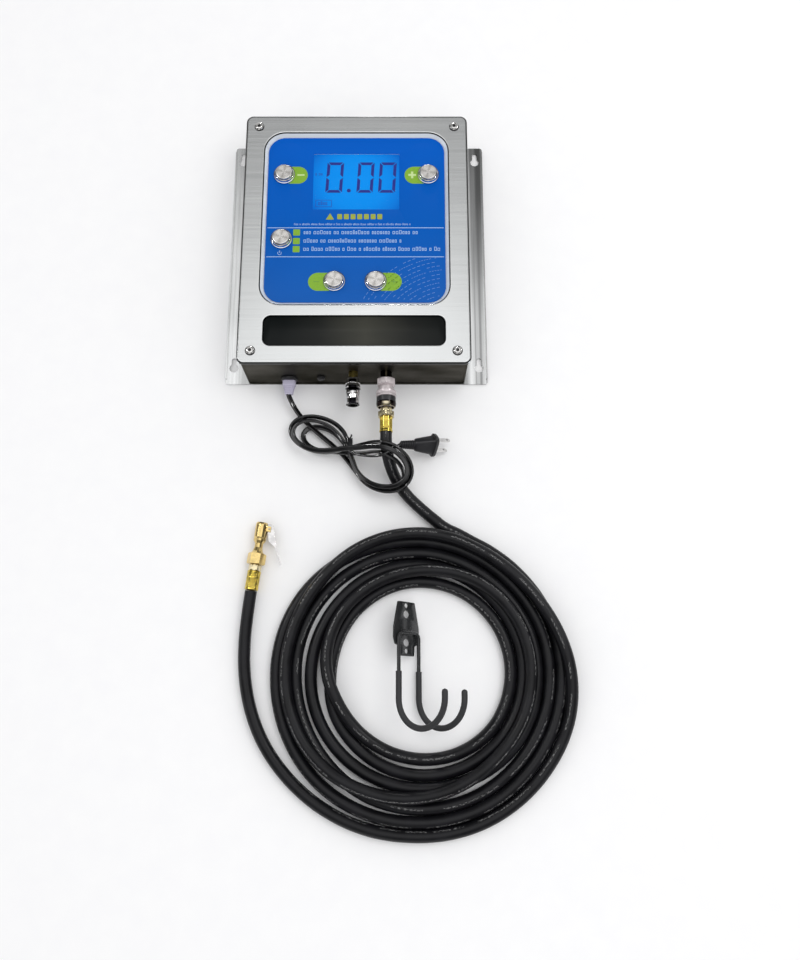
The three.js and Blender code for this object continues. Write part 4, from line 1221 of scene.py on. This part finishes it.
def make_coupler(neck, satin, dark, pale_brass, brass, black):
    """The coupler and its sliding collar, and the hose's plug and ferrule."""
    at = (OUTLET_X, 0, PORT_Z)
    body = [(8.5, -186), (8.5, -168), (8.2, -165.4), (7.0, -164.4), *hex_bar(19, -163.5, -156.5, True)]
    stem = solid_rows([(6.3, -156.45), (6.3, -143.4)])
    done(turned("coupler_neck", stem, Y_AXIS, at), neck, "nickel_plate", BODY)
    done(turned("coupler_core", solid_rows(body), Y_AXIS, at), satin, "nickel_plate", BODY, "coupler_body")
    bore = 8.72
    upper = [(10.5, -170), (10.95, -170.5), (10.95, -173.6), (10.7, -174.0), (10.95, -174.4), (10.95, -176.4),
             (10.4, -176.9)]
    done(turned("collar_grip", bored(upper, bore), Y_AXIS, at), satin, "satin_sleeve", "coupler_collar",
         "coupler_sleeve")
    band = [(9.6, -176.95), (10.4, -177.4), (10.4, -182.7), (9.6, -183.15)]
    done(turned("collar_band", bored(band, bore), Y_AXIS, at), black, "black_plastic", "coupler_collar")
    lower = [(10.3, -183.2), (10.8, -183.7), (10.7, -185.6), (10.1, -187.6), (9.4, -188.5)]
    done(turned("collar_ring", bored(lower, bore), Y_AXIS, at), dark, "nickel_plate", "coupler_collar")
    plug = [(4.0, -214), (4.0, -199.7), *hex_bar(17, -199.5, -193.8, True), (6.6, -193.2), (6.6, -190),
            (6.1, -188.7)]
    done(turned("coupler_tail", solid_rows(plug), Y_AXIS, at), pale_brass, "pale_brass", BODY, "coupler_plug")
    low, high = node_box("hose_ferrule_inlet")
    rows = bored(crimped(low[1], high[1], 7.1, flutes, 0.7), 6.42)
    done(turned("ferrule_inlet", rows, Y_AXIS, at, 96), brass, "brass", BODY, "hose_ferrule_inlet")


def make_inlet(nickel, brass_dark):
    """A brass neck, its plated hexagon and collar, and the lock nut on the thread."""
    at = (INLET_X, 0, PORT_Z)
    bore = 4.1
    thread = [(4.9 if k % 2 else 4.6, -182 + 0.45 * k) for k in range(31)]
    shell = thread + [(6.9, -168), (8.2, -167.4), (8.4, -166.5), (7.4, -162.2), (8.1, -161.8),
                      (8.1, -160.4), (6.9, -156.1), (6.3, -155.5)]
    made = turned("inlet_hexagon", bored(shell, bore), Y_AXIS, at)
    done(made, nickel, "nickel_plate", BODY, "inlet_fitting_body", degrees=25)
    neck = [(5.0, -155.45), (5.0, -152.6), (4.7, -152.3), (4.7, -151.9), (5.0, -151.6), (5.0, -143.4)]
    done(turned("inlet_neck", bored(neck, bore), Y_AXIS, at), brass_dark, "brass", BODY)
    nut = [(6.5, -186), (7.3, -185.6), (7.5, -184.7), (6.5, -179.6), (7.0, -179.2), (7.3, -176.0),
           (7.2, -173.6), (7.7, -173.1), (7.7, -170.4), (7.1, -169.3), (6.2, -168.4)]
    made = turned("inlet_nut", bored(nut, 4.95), Y_AXIS, at)
    done(made, nickel, "nickel_plate", BODY, "inlet_lock_nut", degrees=25)


def lofted(name, rows, sides=40):
    """A closed form along X. Rows are (x, width, height, squareness)."""
    verts, faces = [], []
    for x, w, h, square in rows:
        for k in range(sides):
            a = 2 * math.pi * k / sides
            y, z = (math.copysign(abs(t) ** (2 / square), t) for t in (math.cos(a), math.sin(a)))
            verts.append((x, w / 2 * y, h / 2 * z))
    for r in range(0, (len(rows) - 1) * sides, sides):
        for i in range(sides):
            j = (i + 1) % sides
            faces.append((r + i, r + j, r + sides + j, r + sides + i))
    faces += [tuple(range(sides)), tuple((len(rows) - 1) * sides + i for i in range(sides))[::-1]]
    return outward(from_faces(name, verts, faces))


def make_lead_exit(grey, black):
    """The gland in the wall, and the ribbed strain relief that the mains lead comes out of."""
    x, _, z = middle("cable_gland")
    rows = [(6.0, -146), (6.0, -148.2), (9.0, -148.3), (9.0, -149.9), (8.5, -150.7), (7.4, -150.95)]
    made = turned("lead_gland", solid_rows(rows), Y_AXIS, (x, 0, z))
    done(made, black, "black_plastic", BODY, "cable_gland")
    rows = [(0, 13.2, 9.4, 5), (0.6, 14.2, 10.3, 5), (5.2, 14.4, 10.5, 5), (6.1, 13.6, 9.9, 4.5)]
    for k in range(5):
        at, w, h = 6.6 + 1.85 * k, 12.6 - 0.85 * k, 9.4 - 0.62 * k
        rows += [(at, w - 0.5, h - 0.4, 4), (at + 0.5, w, h, 4), (at + 1.2, w - 0.05, h - 0.05, 4),
                 (at + 1.6, w - 0.9, h - 0.7, 4)]
    rows.append((15.9, 7.6, 5.6, 3.5))
    made = placed(lofted("lead_relief", rows), (x, -151.2, z), (0, 0, -90))
    done(made, grey, "grey_nylon", BODY, "strain_relief")
    return made


PLUG_AT, PLUG_TURN = (87, -225, 14.6), (50, 25, 7)


def make_plug(black, nickel):
    """The two-blade plug, with a ribbed grip behind its flange."""
    rows = [(-42, 6.6, 5.0, 2.2)]
    for k in range(6):
        at, w = -41.2 + 2.6 * k, 6.6 + 0.34 * k
        rows += [(at + along, w + rib, w * 0.8 + rib, 2.4)
                 for along, rib in ((0, 0), (0.3, 1.9), (1.3, 1.9), (1.6, 0))]
    rows += [(-25.6, 9.2, 7.4, 2.6), (-24.6, 12.0, 9.8, 3.2), (-23.6, 12.9, 10.6, 3.5), (-16, 15.6, 11.9, 4),
             (-7.4, 18.4, 13.2, 4.5), (-5.4, 19.2, 13.6, 4.5), (-4.3, 20.4, 14.4, 4), (-3.9, 23.8, 16.2, 3.4),
             (-3.4, 24.8, 16.9, 3.4), (-0.8, 24.6, 16.6, 3.4), (-0.2, 23.8, 15.9, 3.4), (0, 22.6, 14.9, 3.4)]
    made = placed(lofted("mains_plug", rows, 48), PLUG_AT, PLUG_TURN)
    done(made, black, "cord_pvc", BODY, "plug_body")
    blades = []
    half = [(0.1, -3.15), (13.6, -3.15), (15.4, -2.5), (16.2, -1.2)]
    outline = half + [(x, -y) for x, y in reversed(half)]
    for k, side in ((1, -1), (2, 1)):
        blade = plate_mesh(f"plug_blade_face_{k}", outline, [circle(1.55, 12.2, 0, 20)], -0.75, 0.75, 0.15)
        placed(placed(blade, (0, side * 6.35, 0), (90, 0, 0)), PLUG_AT, PLUG_TURN)
        blades.append(done(blade, nickel, "nickel_plate", BODY, f"plug_blade_{k}"))
    return [made, *blades]


CHUCK_AT, CHUCK_TURN = (-107.7, -382.6, 8.8), (0, 0, -7.5)


def make_chuck(brass, pale_brass):
    """The hose's end: crimped ferrule and hexagon adapter. The chuck and its clip keep their CAD shapes."""
    rows = bored(crimped(0.6, 20.6, 7.1, diamonds, 0.9), 6.42)
    ferrule = placed(turned("ferrule_chuck", rows, Y_AXIS, (0, 0, 0), 96), CHUCK_AT, CHUCK_TURN)
    done(ferrule, brass, "brass", BODY, "hose_ferrule_chuck")
    rows = solid_rows([(4.2, 12), (4.2, 20.8), *hex_bar(12, 21, 27.4)])
    adapter = placed(turned("chuck_collar", rows, Y_AXIS, (0, 0, 0)), CHUCK_AT, CHUCK_TURN)
    done(adapter, pale_brass, "pale_brass", BODY, "chuck_adapter")
    return [ferrule, adapter]


HOOK_AT, HOOK_TURN = (58, -525.5, 18.5), (0, 50, 0)
HOOK_LEG, HOOK_BEND, HOOK_TOP, HOOK_FOOT, HOOK_CORNER = 16, 29, 98, 31.8, 6
WIRE_R, SLEEVE_R = 1.95, 3.1


def leg_line(side, top, tip):
    """One leg of the hook: down, round its bend and up to the tip."""
    line = [(side * HOOK_LEG, y, 0) for y in np.linspace(top, HOOK_FOOT, 8)[:-1]]
    for k in range(25):
        a = math.pi * (1 + k / 24)
        line.append((side * HOOK_LEG, HOOK_FOOT + HOOK_BEND * math.sin(a), HOOK_BEND * (1 + math.cos(a))))
    return line + [(side * HOOK_LEG, y, 2 * HOOK_BEND) for y in np.linspace(HOOK_FOOT, tip, 3)[1:]]


def round_ends(r, first=True, last=True):
    """A swept tube's size along its length, so that its ends are rounded."""
    def size(at, whole):
        near = min(at if first else r, whole - at if last else r, r) / r
        return max(0.05, math.sqrt(max(0.0, 1 - (1 - near) ** 2)))
    return size


def make_hook(paint, rubber):
    """The hose hook: one bent wire, a rubber sleeve on each leg, and the wall plate."""
    corner = [(HOOK_LEG - HOOK_CORNER * (1 - math.sin(a)), HOOK_TOP - HOOK_CORNER * (1 - math.cos(a)), 0)
              for a in np.linspace(0, math.pi / 2, 7)]
    half = corner + leg_line(1, HOOK_TOP - 8, 36)
    line = [(-x, y, z) for x, y, z in reversed(half)] + half
    made = swept("hook_wire_bent", spaced(np.array(line), 1.6), round_section(WIRE_R, 20))
    done(placed(made, HOOK_AT, HOOK_TURN), paint, "black_paint", HOOK_BODY, "hook_wire", degrees=60)
    for k, side in ((1, -1), (2, 1)):
        line = spaced(np.array(leg_line(side, 59, 40.5)), 0.8)
        made = swept(f"hook_grip_{k}", line, round_section(SLEEVE_R, 24), scale=round_ends(SLEEVE_R, False))
        placed(made, HOOK_AT, HOOK_TURN)
        done(made, rubber, "hook_sleeve_rubber", HOOK_BODY, f"hook_sleeve_{k}", degrees=60)
    right = [(13, 130), (19.5, 104), (20, 93), (17.5, 86), (12.5, 85), (12, 74.5)]
    outline = soften([*[(-x, y) for x, y in right], *reversed(right)], 1.6)
    holes = [[(1.35 * x, y) for x, y in circle(r, 0, at, 32)]
             for at, r in ((126, 2.5), (117, 3.9), (88, 3.9), (79.5, 2.5))]
    face = plate_mesh("hook_face", outline, holes, -4.6, -2.4, 0.45)
    saddle = plate_mesh("hook_saddle", soften(bar(-9, -3.2, 9, 3.2), 1.6), [], -2.7, -1.3, 0.5)
    made = placed(joined("hook_bracket", face, placed(saddle, (0, 98.2, 0))), HOOK_AT, HOOK_TURN)
    done(made, paint, "black_paint", HOOK_BODY, "hook_plate")


def soften(outline, r):
    """The outline with its corners rounded."""
    p = [np.array(q, float) for q in outline]
    out = []
    for before, here, after in zip(p[-1:] + p[:-1], p, p[1:] + p[:1]):
        a, b = here - before, after - here
        cut = min(r, np.linalg.norm(a) * 0.45, np.linalg.norm(b) * 0.45)
        first, last = here - cut * unit(a), here + cut * unit(b)
        out += [tuple((1 - t) ** 2 * first + 2 * t * (1 - t) * here + t * t * last)
                for t in np.linspace(0, 1, 6)]
    area = sum(a[0] * b[1] - b[0] * a[1] for a, b in zip(out, out[1:] + out[:1]))
    return out if area > 0 else out[::-1]


TIE_HALF = (10.5, 8.2)          # half width and half height of the band round the hank
TIE_UP = 2.0


def make_tie(black):
    """The wire tie that closes the hank: a flat band with its two ends twisted."""
    x, y, _ = middle("cord_tie")
    wide, high = TIE_HALF
    line = []
    for k in range(41):
        a = 2 * math.pi * k / 40 * 0.985
        line.append((x + 0.6 * math.sin(a), y + wide * math.cos(a), high + TIE_UP + high * math.sin(a)))
    band = swept("tie_band", line, [(2.8, 0.45), (-2.8, 0.45), (-2.8, -0.45), (2.8, -0.45)])
    ends = []
    for k, side in enumerate((-1, 1)):
        end = [(x + 0.5, y + 8.6, 16.0), (x - 0.5 + side, y + 10.4, 17.4),
               (x - 1 + 2.6 * side, y + 12.4, 17.8), (x - 2 + 3.6 * side, y + 14.2, 16.2)]
        ends.append(swept(f"tie_end_{k}", through(end, 0.8), round_section(0.85, 8)))
    made = joined("cord_tie_band", band, *ends)
    return done(made, black, "cord_pvc", BODY, "cord_tie")


def make_hose(line, mat):
    made = swept("air_hose", line, round_section(HOSE_R, 28))
    done(made, mat, "hose_rubber", BODY, "hose_lead", "hose_coil", "hose_tail", degrees=60)


def make_mains_lead(line, mat, pieces):
    made = swept("mains_lead", line, twin_section(CORD_W, CORD_T), roll=0.5, twist=0.0035)
    done(made, mat, "cord_pvc", BODY, "mains_cord_lead", "mains_cord_hank", "mains_cord_tail", degrees=60)


# ---- CAD nodes that are shown as they are ----
def polish_node(name, mat, width=0.25):
    """A carried-over node: its material, and edges softened by that width."""
    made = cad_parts[name]
    made.data.materials.clear()
    made.data.materials.append(mat)
    weld = made.modifiers.new("weld", "WELD")
    weld.merge_threshold = 0.01 * MM
    if width:
        edge = made.modifiers.new("edge", "BEVEL")
        edge.width = width * MM
        edge.segments = 2
        edge.limit_method = "ANGLE"
        edge.angle_limit = math.radians(40)
        edge.harden_normals = True


# ---- light and floor ----
# What polished surfaces mirror, as (height, brightness): 0 is level or below, and 1 is straight up.
SKY = [(0.0, 0.95), (0.34, 0.9), (0.44, 0.1), (0.68, 0.1), (0.77, 0.34), (0.83, 0.5), (0.88, 0.78),
       (0.94, 1.2), (1.0, 1.3)]
SOFT_BOX = 0.86                 # the even light that matt surfaces get
STRIP_AT = (-0.048, 0.418)      # direction of a soft strip light, by its X and Y
SPARKS = (("left", (-1.3, 0.35, 1.5)), ("right", (1.3, 0.35, 1.5)), ("far", (0.0, 2.0, 0.75)))


def make_world():
    """A light tent: even light on matt surfaces, and mirrored in polished ones, bright above, dim at mid
    height, and pale screens with gaps low down."""
    world = bpy.data.worlds.new("studio")
    bpy.context.scene.world = world
    world.use_nodes = True
    x, y, z = split(world, node(world, "TexCoord").outputs["Generated"])
    sky = z.colours(*[(at, (v, v, v * 1.01, 1)) for at, v in SKY])
    gap = (y.to("ARCTAN2", x) * 5 + 0.9).to("SINE").spread(1.0, 0.12, 0.1, 0.6)
    low = z.spread(1.0, 0.0, 0.36, 0.46)
    dim = 1.0 - low * (1.0 - gap)
    strip_light = distance((x - STRIP_AT[0]) * 0.4, y - STRIP_AT[1]).spread(1.1, 0.0, 0.008, 0.045)
    mirrored = node(world, "Background")
    wire(world, sky, mirrored.inputs["Color"])
    wire(world, dim + strip_light, mirrored.inputs["Strength"])
    back = world.node_tree.nodes["Background"]
    back.inputs["Color"].default_value = (1.0, 1.0, 1.01, 1)
    back.inputs["Strength"].default_value = SOFT_BOX
    mix = node(world, "MixShader")
    wire(world, node(world, "LightPath").outputs["Is Glossy Ray"], mix.inputs[0])
    wire(world, back.outputs["Background"], mix.inputs[1])
    wire(world, mirrored.outputs["Background"], mix.inputs[2])
    wire(world, mix.outputs["Shader"], world.node_tree.nodes["World Output"].inputs["Surface"])


def make_light(name, at, size, watts, target, glossy=False):
    """A round lamp, in metres. A glossy one shows only in reflections, and any other one never does."""
    data = bpy.data.lights.new(name, "AREA")
    data.shape = "DISK"
    data.size = size
    data.energy = watts
    light = bpy.data.objects.new(name, data)
    bpy.context.scene.collection.objects.link(light)
    light.location = at
    light.rotation_euler = (Vector(target) - Vector(at)).to_track_quat("-Z", "Y").to_euler()
    light.visible_glossy = glossy
    light.visible_diffuse = not glossy
    light.visible_camera = False


def make_floor():
    half, z = 3000, -0.3
    corners = [(-half, -half, z), (half, -half, z), (half, half, z), (-half, half, z)]
    made = from_faces("floor", corners, [(0, 1, 2, 3)])
    mat = look("floor_paper", even(0.93), 0.0, 0.9, Specular_IOR_Level=0.0)
    mottle = noise(mat, 40, 2.0)
    feed(mat, mottle.colours((0.3, (0.925, 0.925, 0.93, 1)), (0.7, even(0.94))), "Base Color")
    made.data.materials.append(mat)


# ---- everything ----
def dress_inside():
    """The parts behind the cover."""
    board = plastic("green_board", srgb("#1d5a34"), 0.4, 400, 0.01)
    tin = steel("galvanised", (0.6, 0.61, 0.62, 1), 0.45, (60, 60, 60), 0.3)
    cast = steel("aluminium", (0.72, 0.72, 0.73, 1), 0.4, (200, 200, 200), 0.15)
    winding = plastic("coil_tape", srgb("#3a3f46"), 0.5, 900, 0.02)
    black = plastic("inner_black", (0.012, 0.012, 0.013, 1), 0.5)
    rubber = plastic("gasket", (0.02, 0.02, 0.021, 1), 0.7)
    steel_part = plating("plunger_steel", (0.6, 0.6, 0.6, 1), 0.25)
    looks = {
        "main_board": board, "power_supply": tin, "manifold_block": cast, "inlet_valve_coil": winding,
        "exhaust_valve_coil": winding, "buzzer": black, "exhaust_silencer": black, "cover_gasket": rubber,
        "chuck_gasket": rubber, "inlet_valve_plunger": steel_part, "exhaust_valve_plunger": steel_part,
        "pressure_sensor": steel_part,
    }
    for name, mat in looks.items():
        polish_node(name, mat, 0)


def dress_unit(black):
    """The case, its controls and their print."""
    make_cover(cover_look())
    make_panel(panel_look())
    make_window(smoked_look())
    make_lens(clear_look())
    make_screws(plating("screw_steel", (0.78, 0.77, 0.75, 1), 0.12), black)
    make_buttons(plating("chrome", (0.8, 0.79, 0.78, 1), 0.06), cap_look())
    make_print()
    polish_node("back_panel", flange_look(), 0.4)
    polish_node("enclosure_body", case_look(), 0.3)
    polish_node("display_module", screen_look(), 0)


def dress_fittings(brass, pale_brass, black):
    """The air fittings on the lower wall, with their painted bands of reflected light and dark."""
    satin = plating("satin_nickel", srgb("#cfc6c7"), 0.3, 0.12)
    feed(satin, 0.35, "Metallic")
    # Painted reflections: the dark and shine colours are dark and bright reflected bands, and the warm colour
    # is a painted highlight along the upper side of the collar ring and the neck.
    dark, shine, warm_highlight = (0.012, 0.011, 0.014, 1), (0.85, 0.84, 0.84, 1), (0.62, 0.55, 0.4, 1)
    ring = banded("dark_ring", (0.02, 0.014, 0.013, 1), -189, -183,
                  [(0.0, warm_highlight), (0.7, warm_highlight), (0.8, (0.03, 0.02, 0.018, 1))], (0.35, 0.5))
    neck = banded("dark_neck", (0.02, 0.017, 0.015, 1), -157, -143, [(0.0, warm_highlight), (1.0, warm_highlight)], (0.1, 0.2))
    chrome = banded("banded_chrome", (0.8, 0.79, 0.79, 1), -187, -155,
                    [(0.03, dark), (0.23, dark), (0.255, shine), (0.47, shine), (0.49, dark), (0.67, dark),
                     (0.7, shine), (0.78, shine), (0.8, dark), (0.9, dark), (0.92, shine)])
    make_coupler(neck, satin, ring, pale_brass, brass, black)
    make_inlet(chrome, plating("olive_brass", srgb("#8f8148"), 0.26))


def dress_cords(black, brass, pale_brass):
    """The air hose with its chuck, and the mains lead with its plug."""
    hose = hose_line()
    lead = cord_line(hose)
    nickel = plating("nickel", (0.72, 0.71, 0.7, 1), 0.1)
    relief = make_lead_exit(plastic("grey_nylon", srgb("#b3afc2"), 0.5, 900, 0.04), black)
    plug = make_plug(black, nickel)
    chuck = make_chuck(brass, pale_brass)
    pvc = plastic("lead_pvc", (0.003, 0.003, 0.0035, 1), 0.11, 1100, 0.01, Specular_IOR_Level=0.8)
    make_mains_lead(lead, pvc, [*plug, make_tie(black), relief])
    make_hose(hose, hose_look())
    polish_node("chuck_body", plating("chuck_brass", srgb("#ecd08c"), 0.14), 0.15)
    polish_node("chuck_lever", nickel, 0.15)
    polish_node("chuck_pivot", nickel, 0.1)


def main():
    make_camera()
    bpy.context.scene.view_settings.view_transform = "Standard"
    black = plastic("black_moulding", (0.012, 0.012, 0.014, 1), 0.42, 900, 0.04)
    brass = plating("brass", srgb("#dcc25a"), 0.14)
    pale_brass = plating("pale_brass", srgb("#eadcb4"), 0.16)
    dress_unit(black)
    dress_fittings(brass, pale_brass, black)
    dress_cords(black, brass, pale_brass)
    make_hook(plastic("black_paint", (0.016, 0.017, 0.018, 1), 0.24, 700, 0.03),
              plastic("sleeve_rubber", (0.02, 0.02, 0.022, 1), 0.55, 1400, 0.05))
    dress_inside()

    make_world()
    make_light("key", (0.8, -0.1, 2.0), 1.6, 12, (0, -0.2, 0))
    for name, at in SPARKS:
        make_light("spark_" + name, at, 0.2, 7, (0, -0.3, 0), glossy=True)
    make_floor()


main()
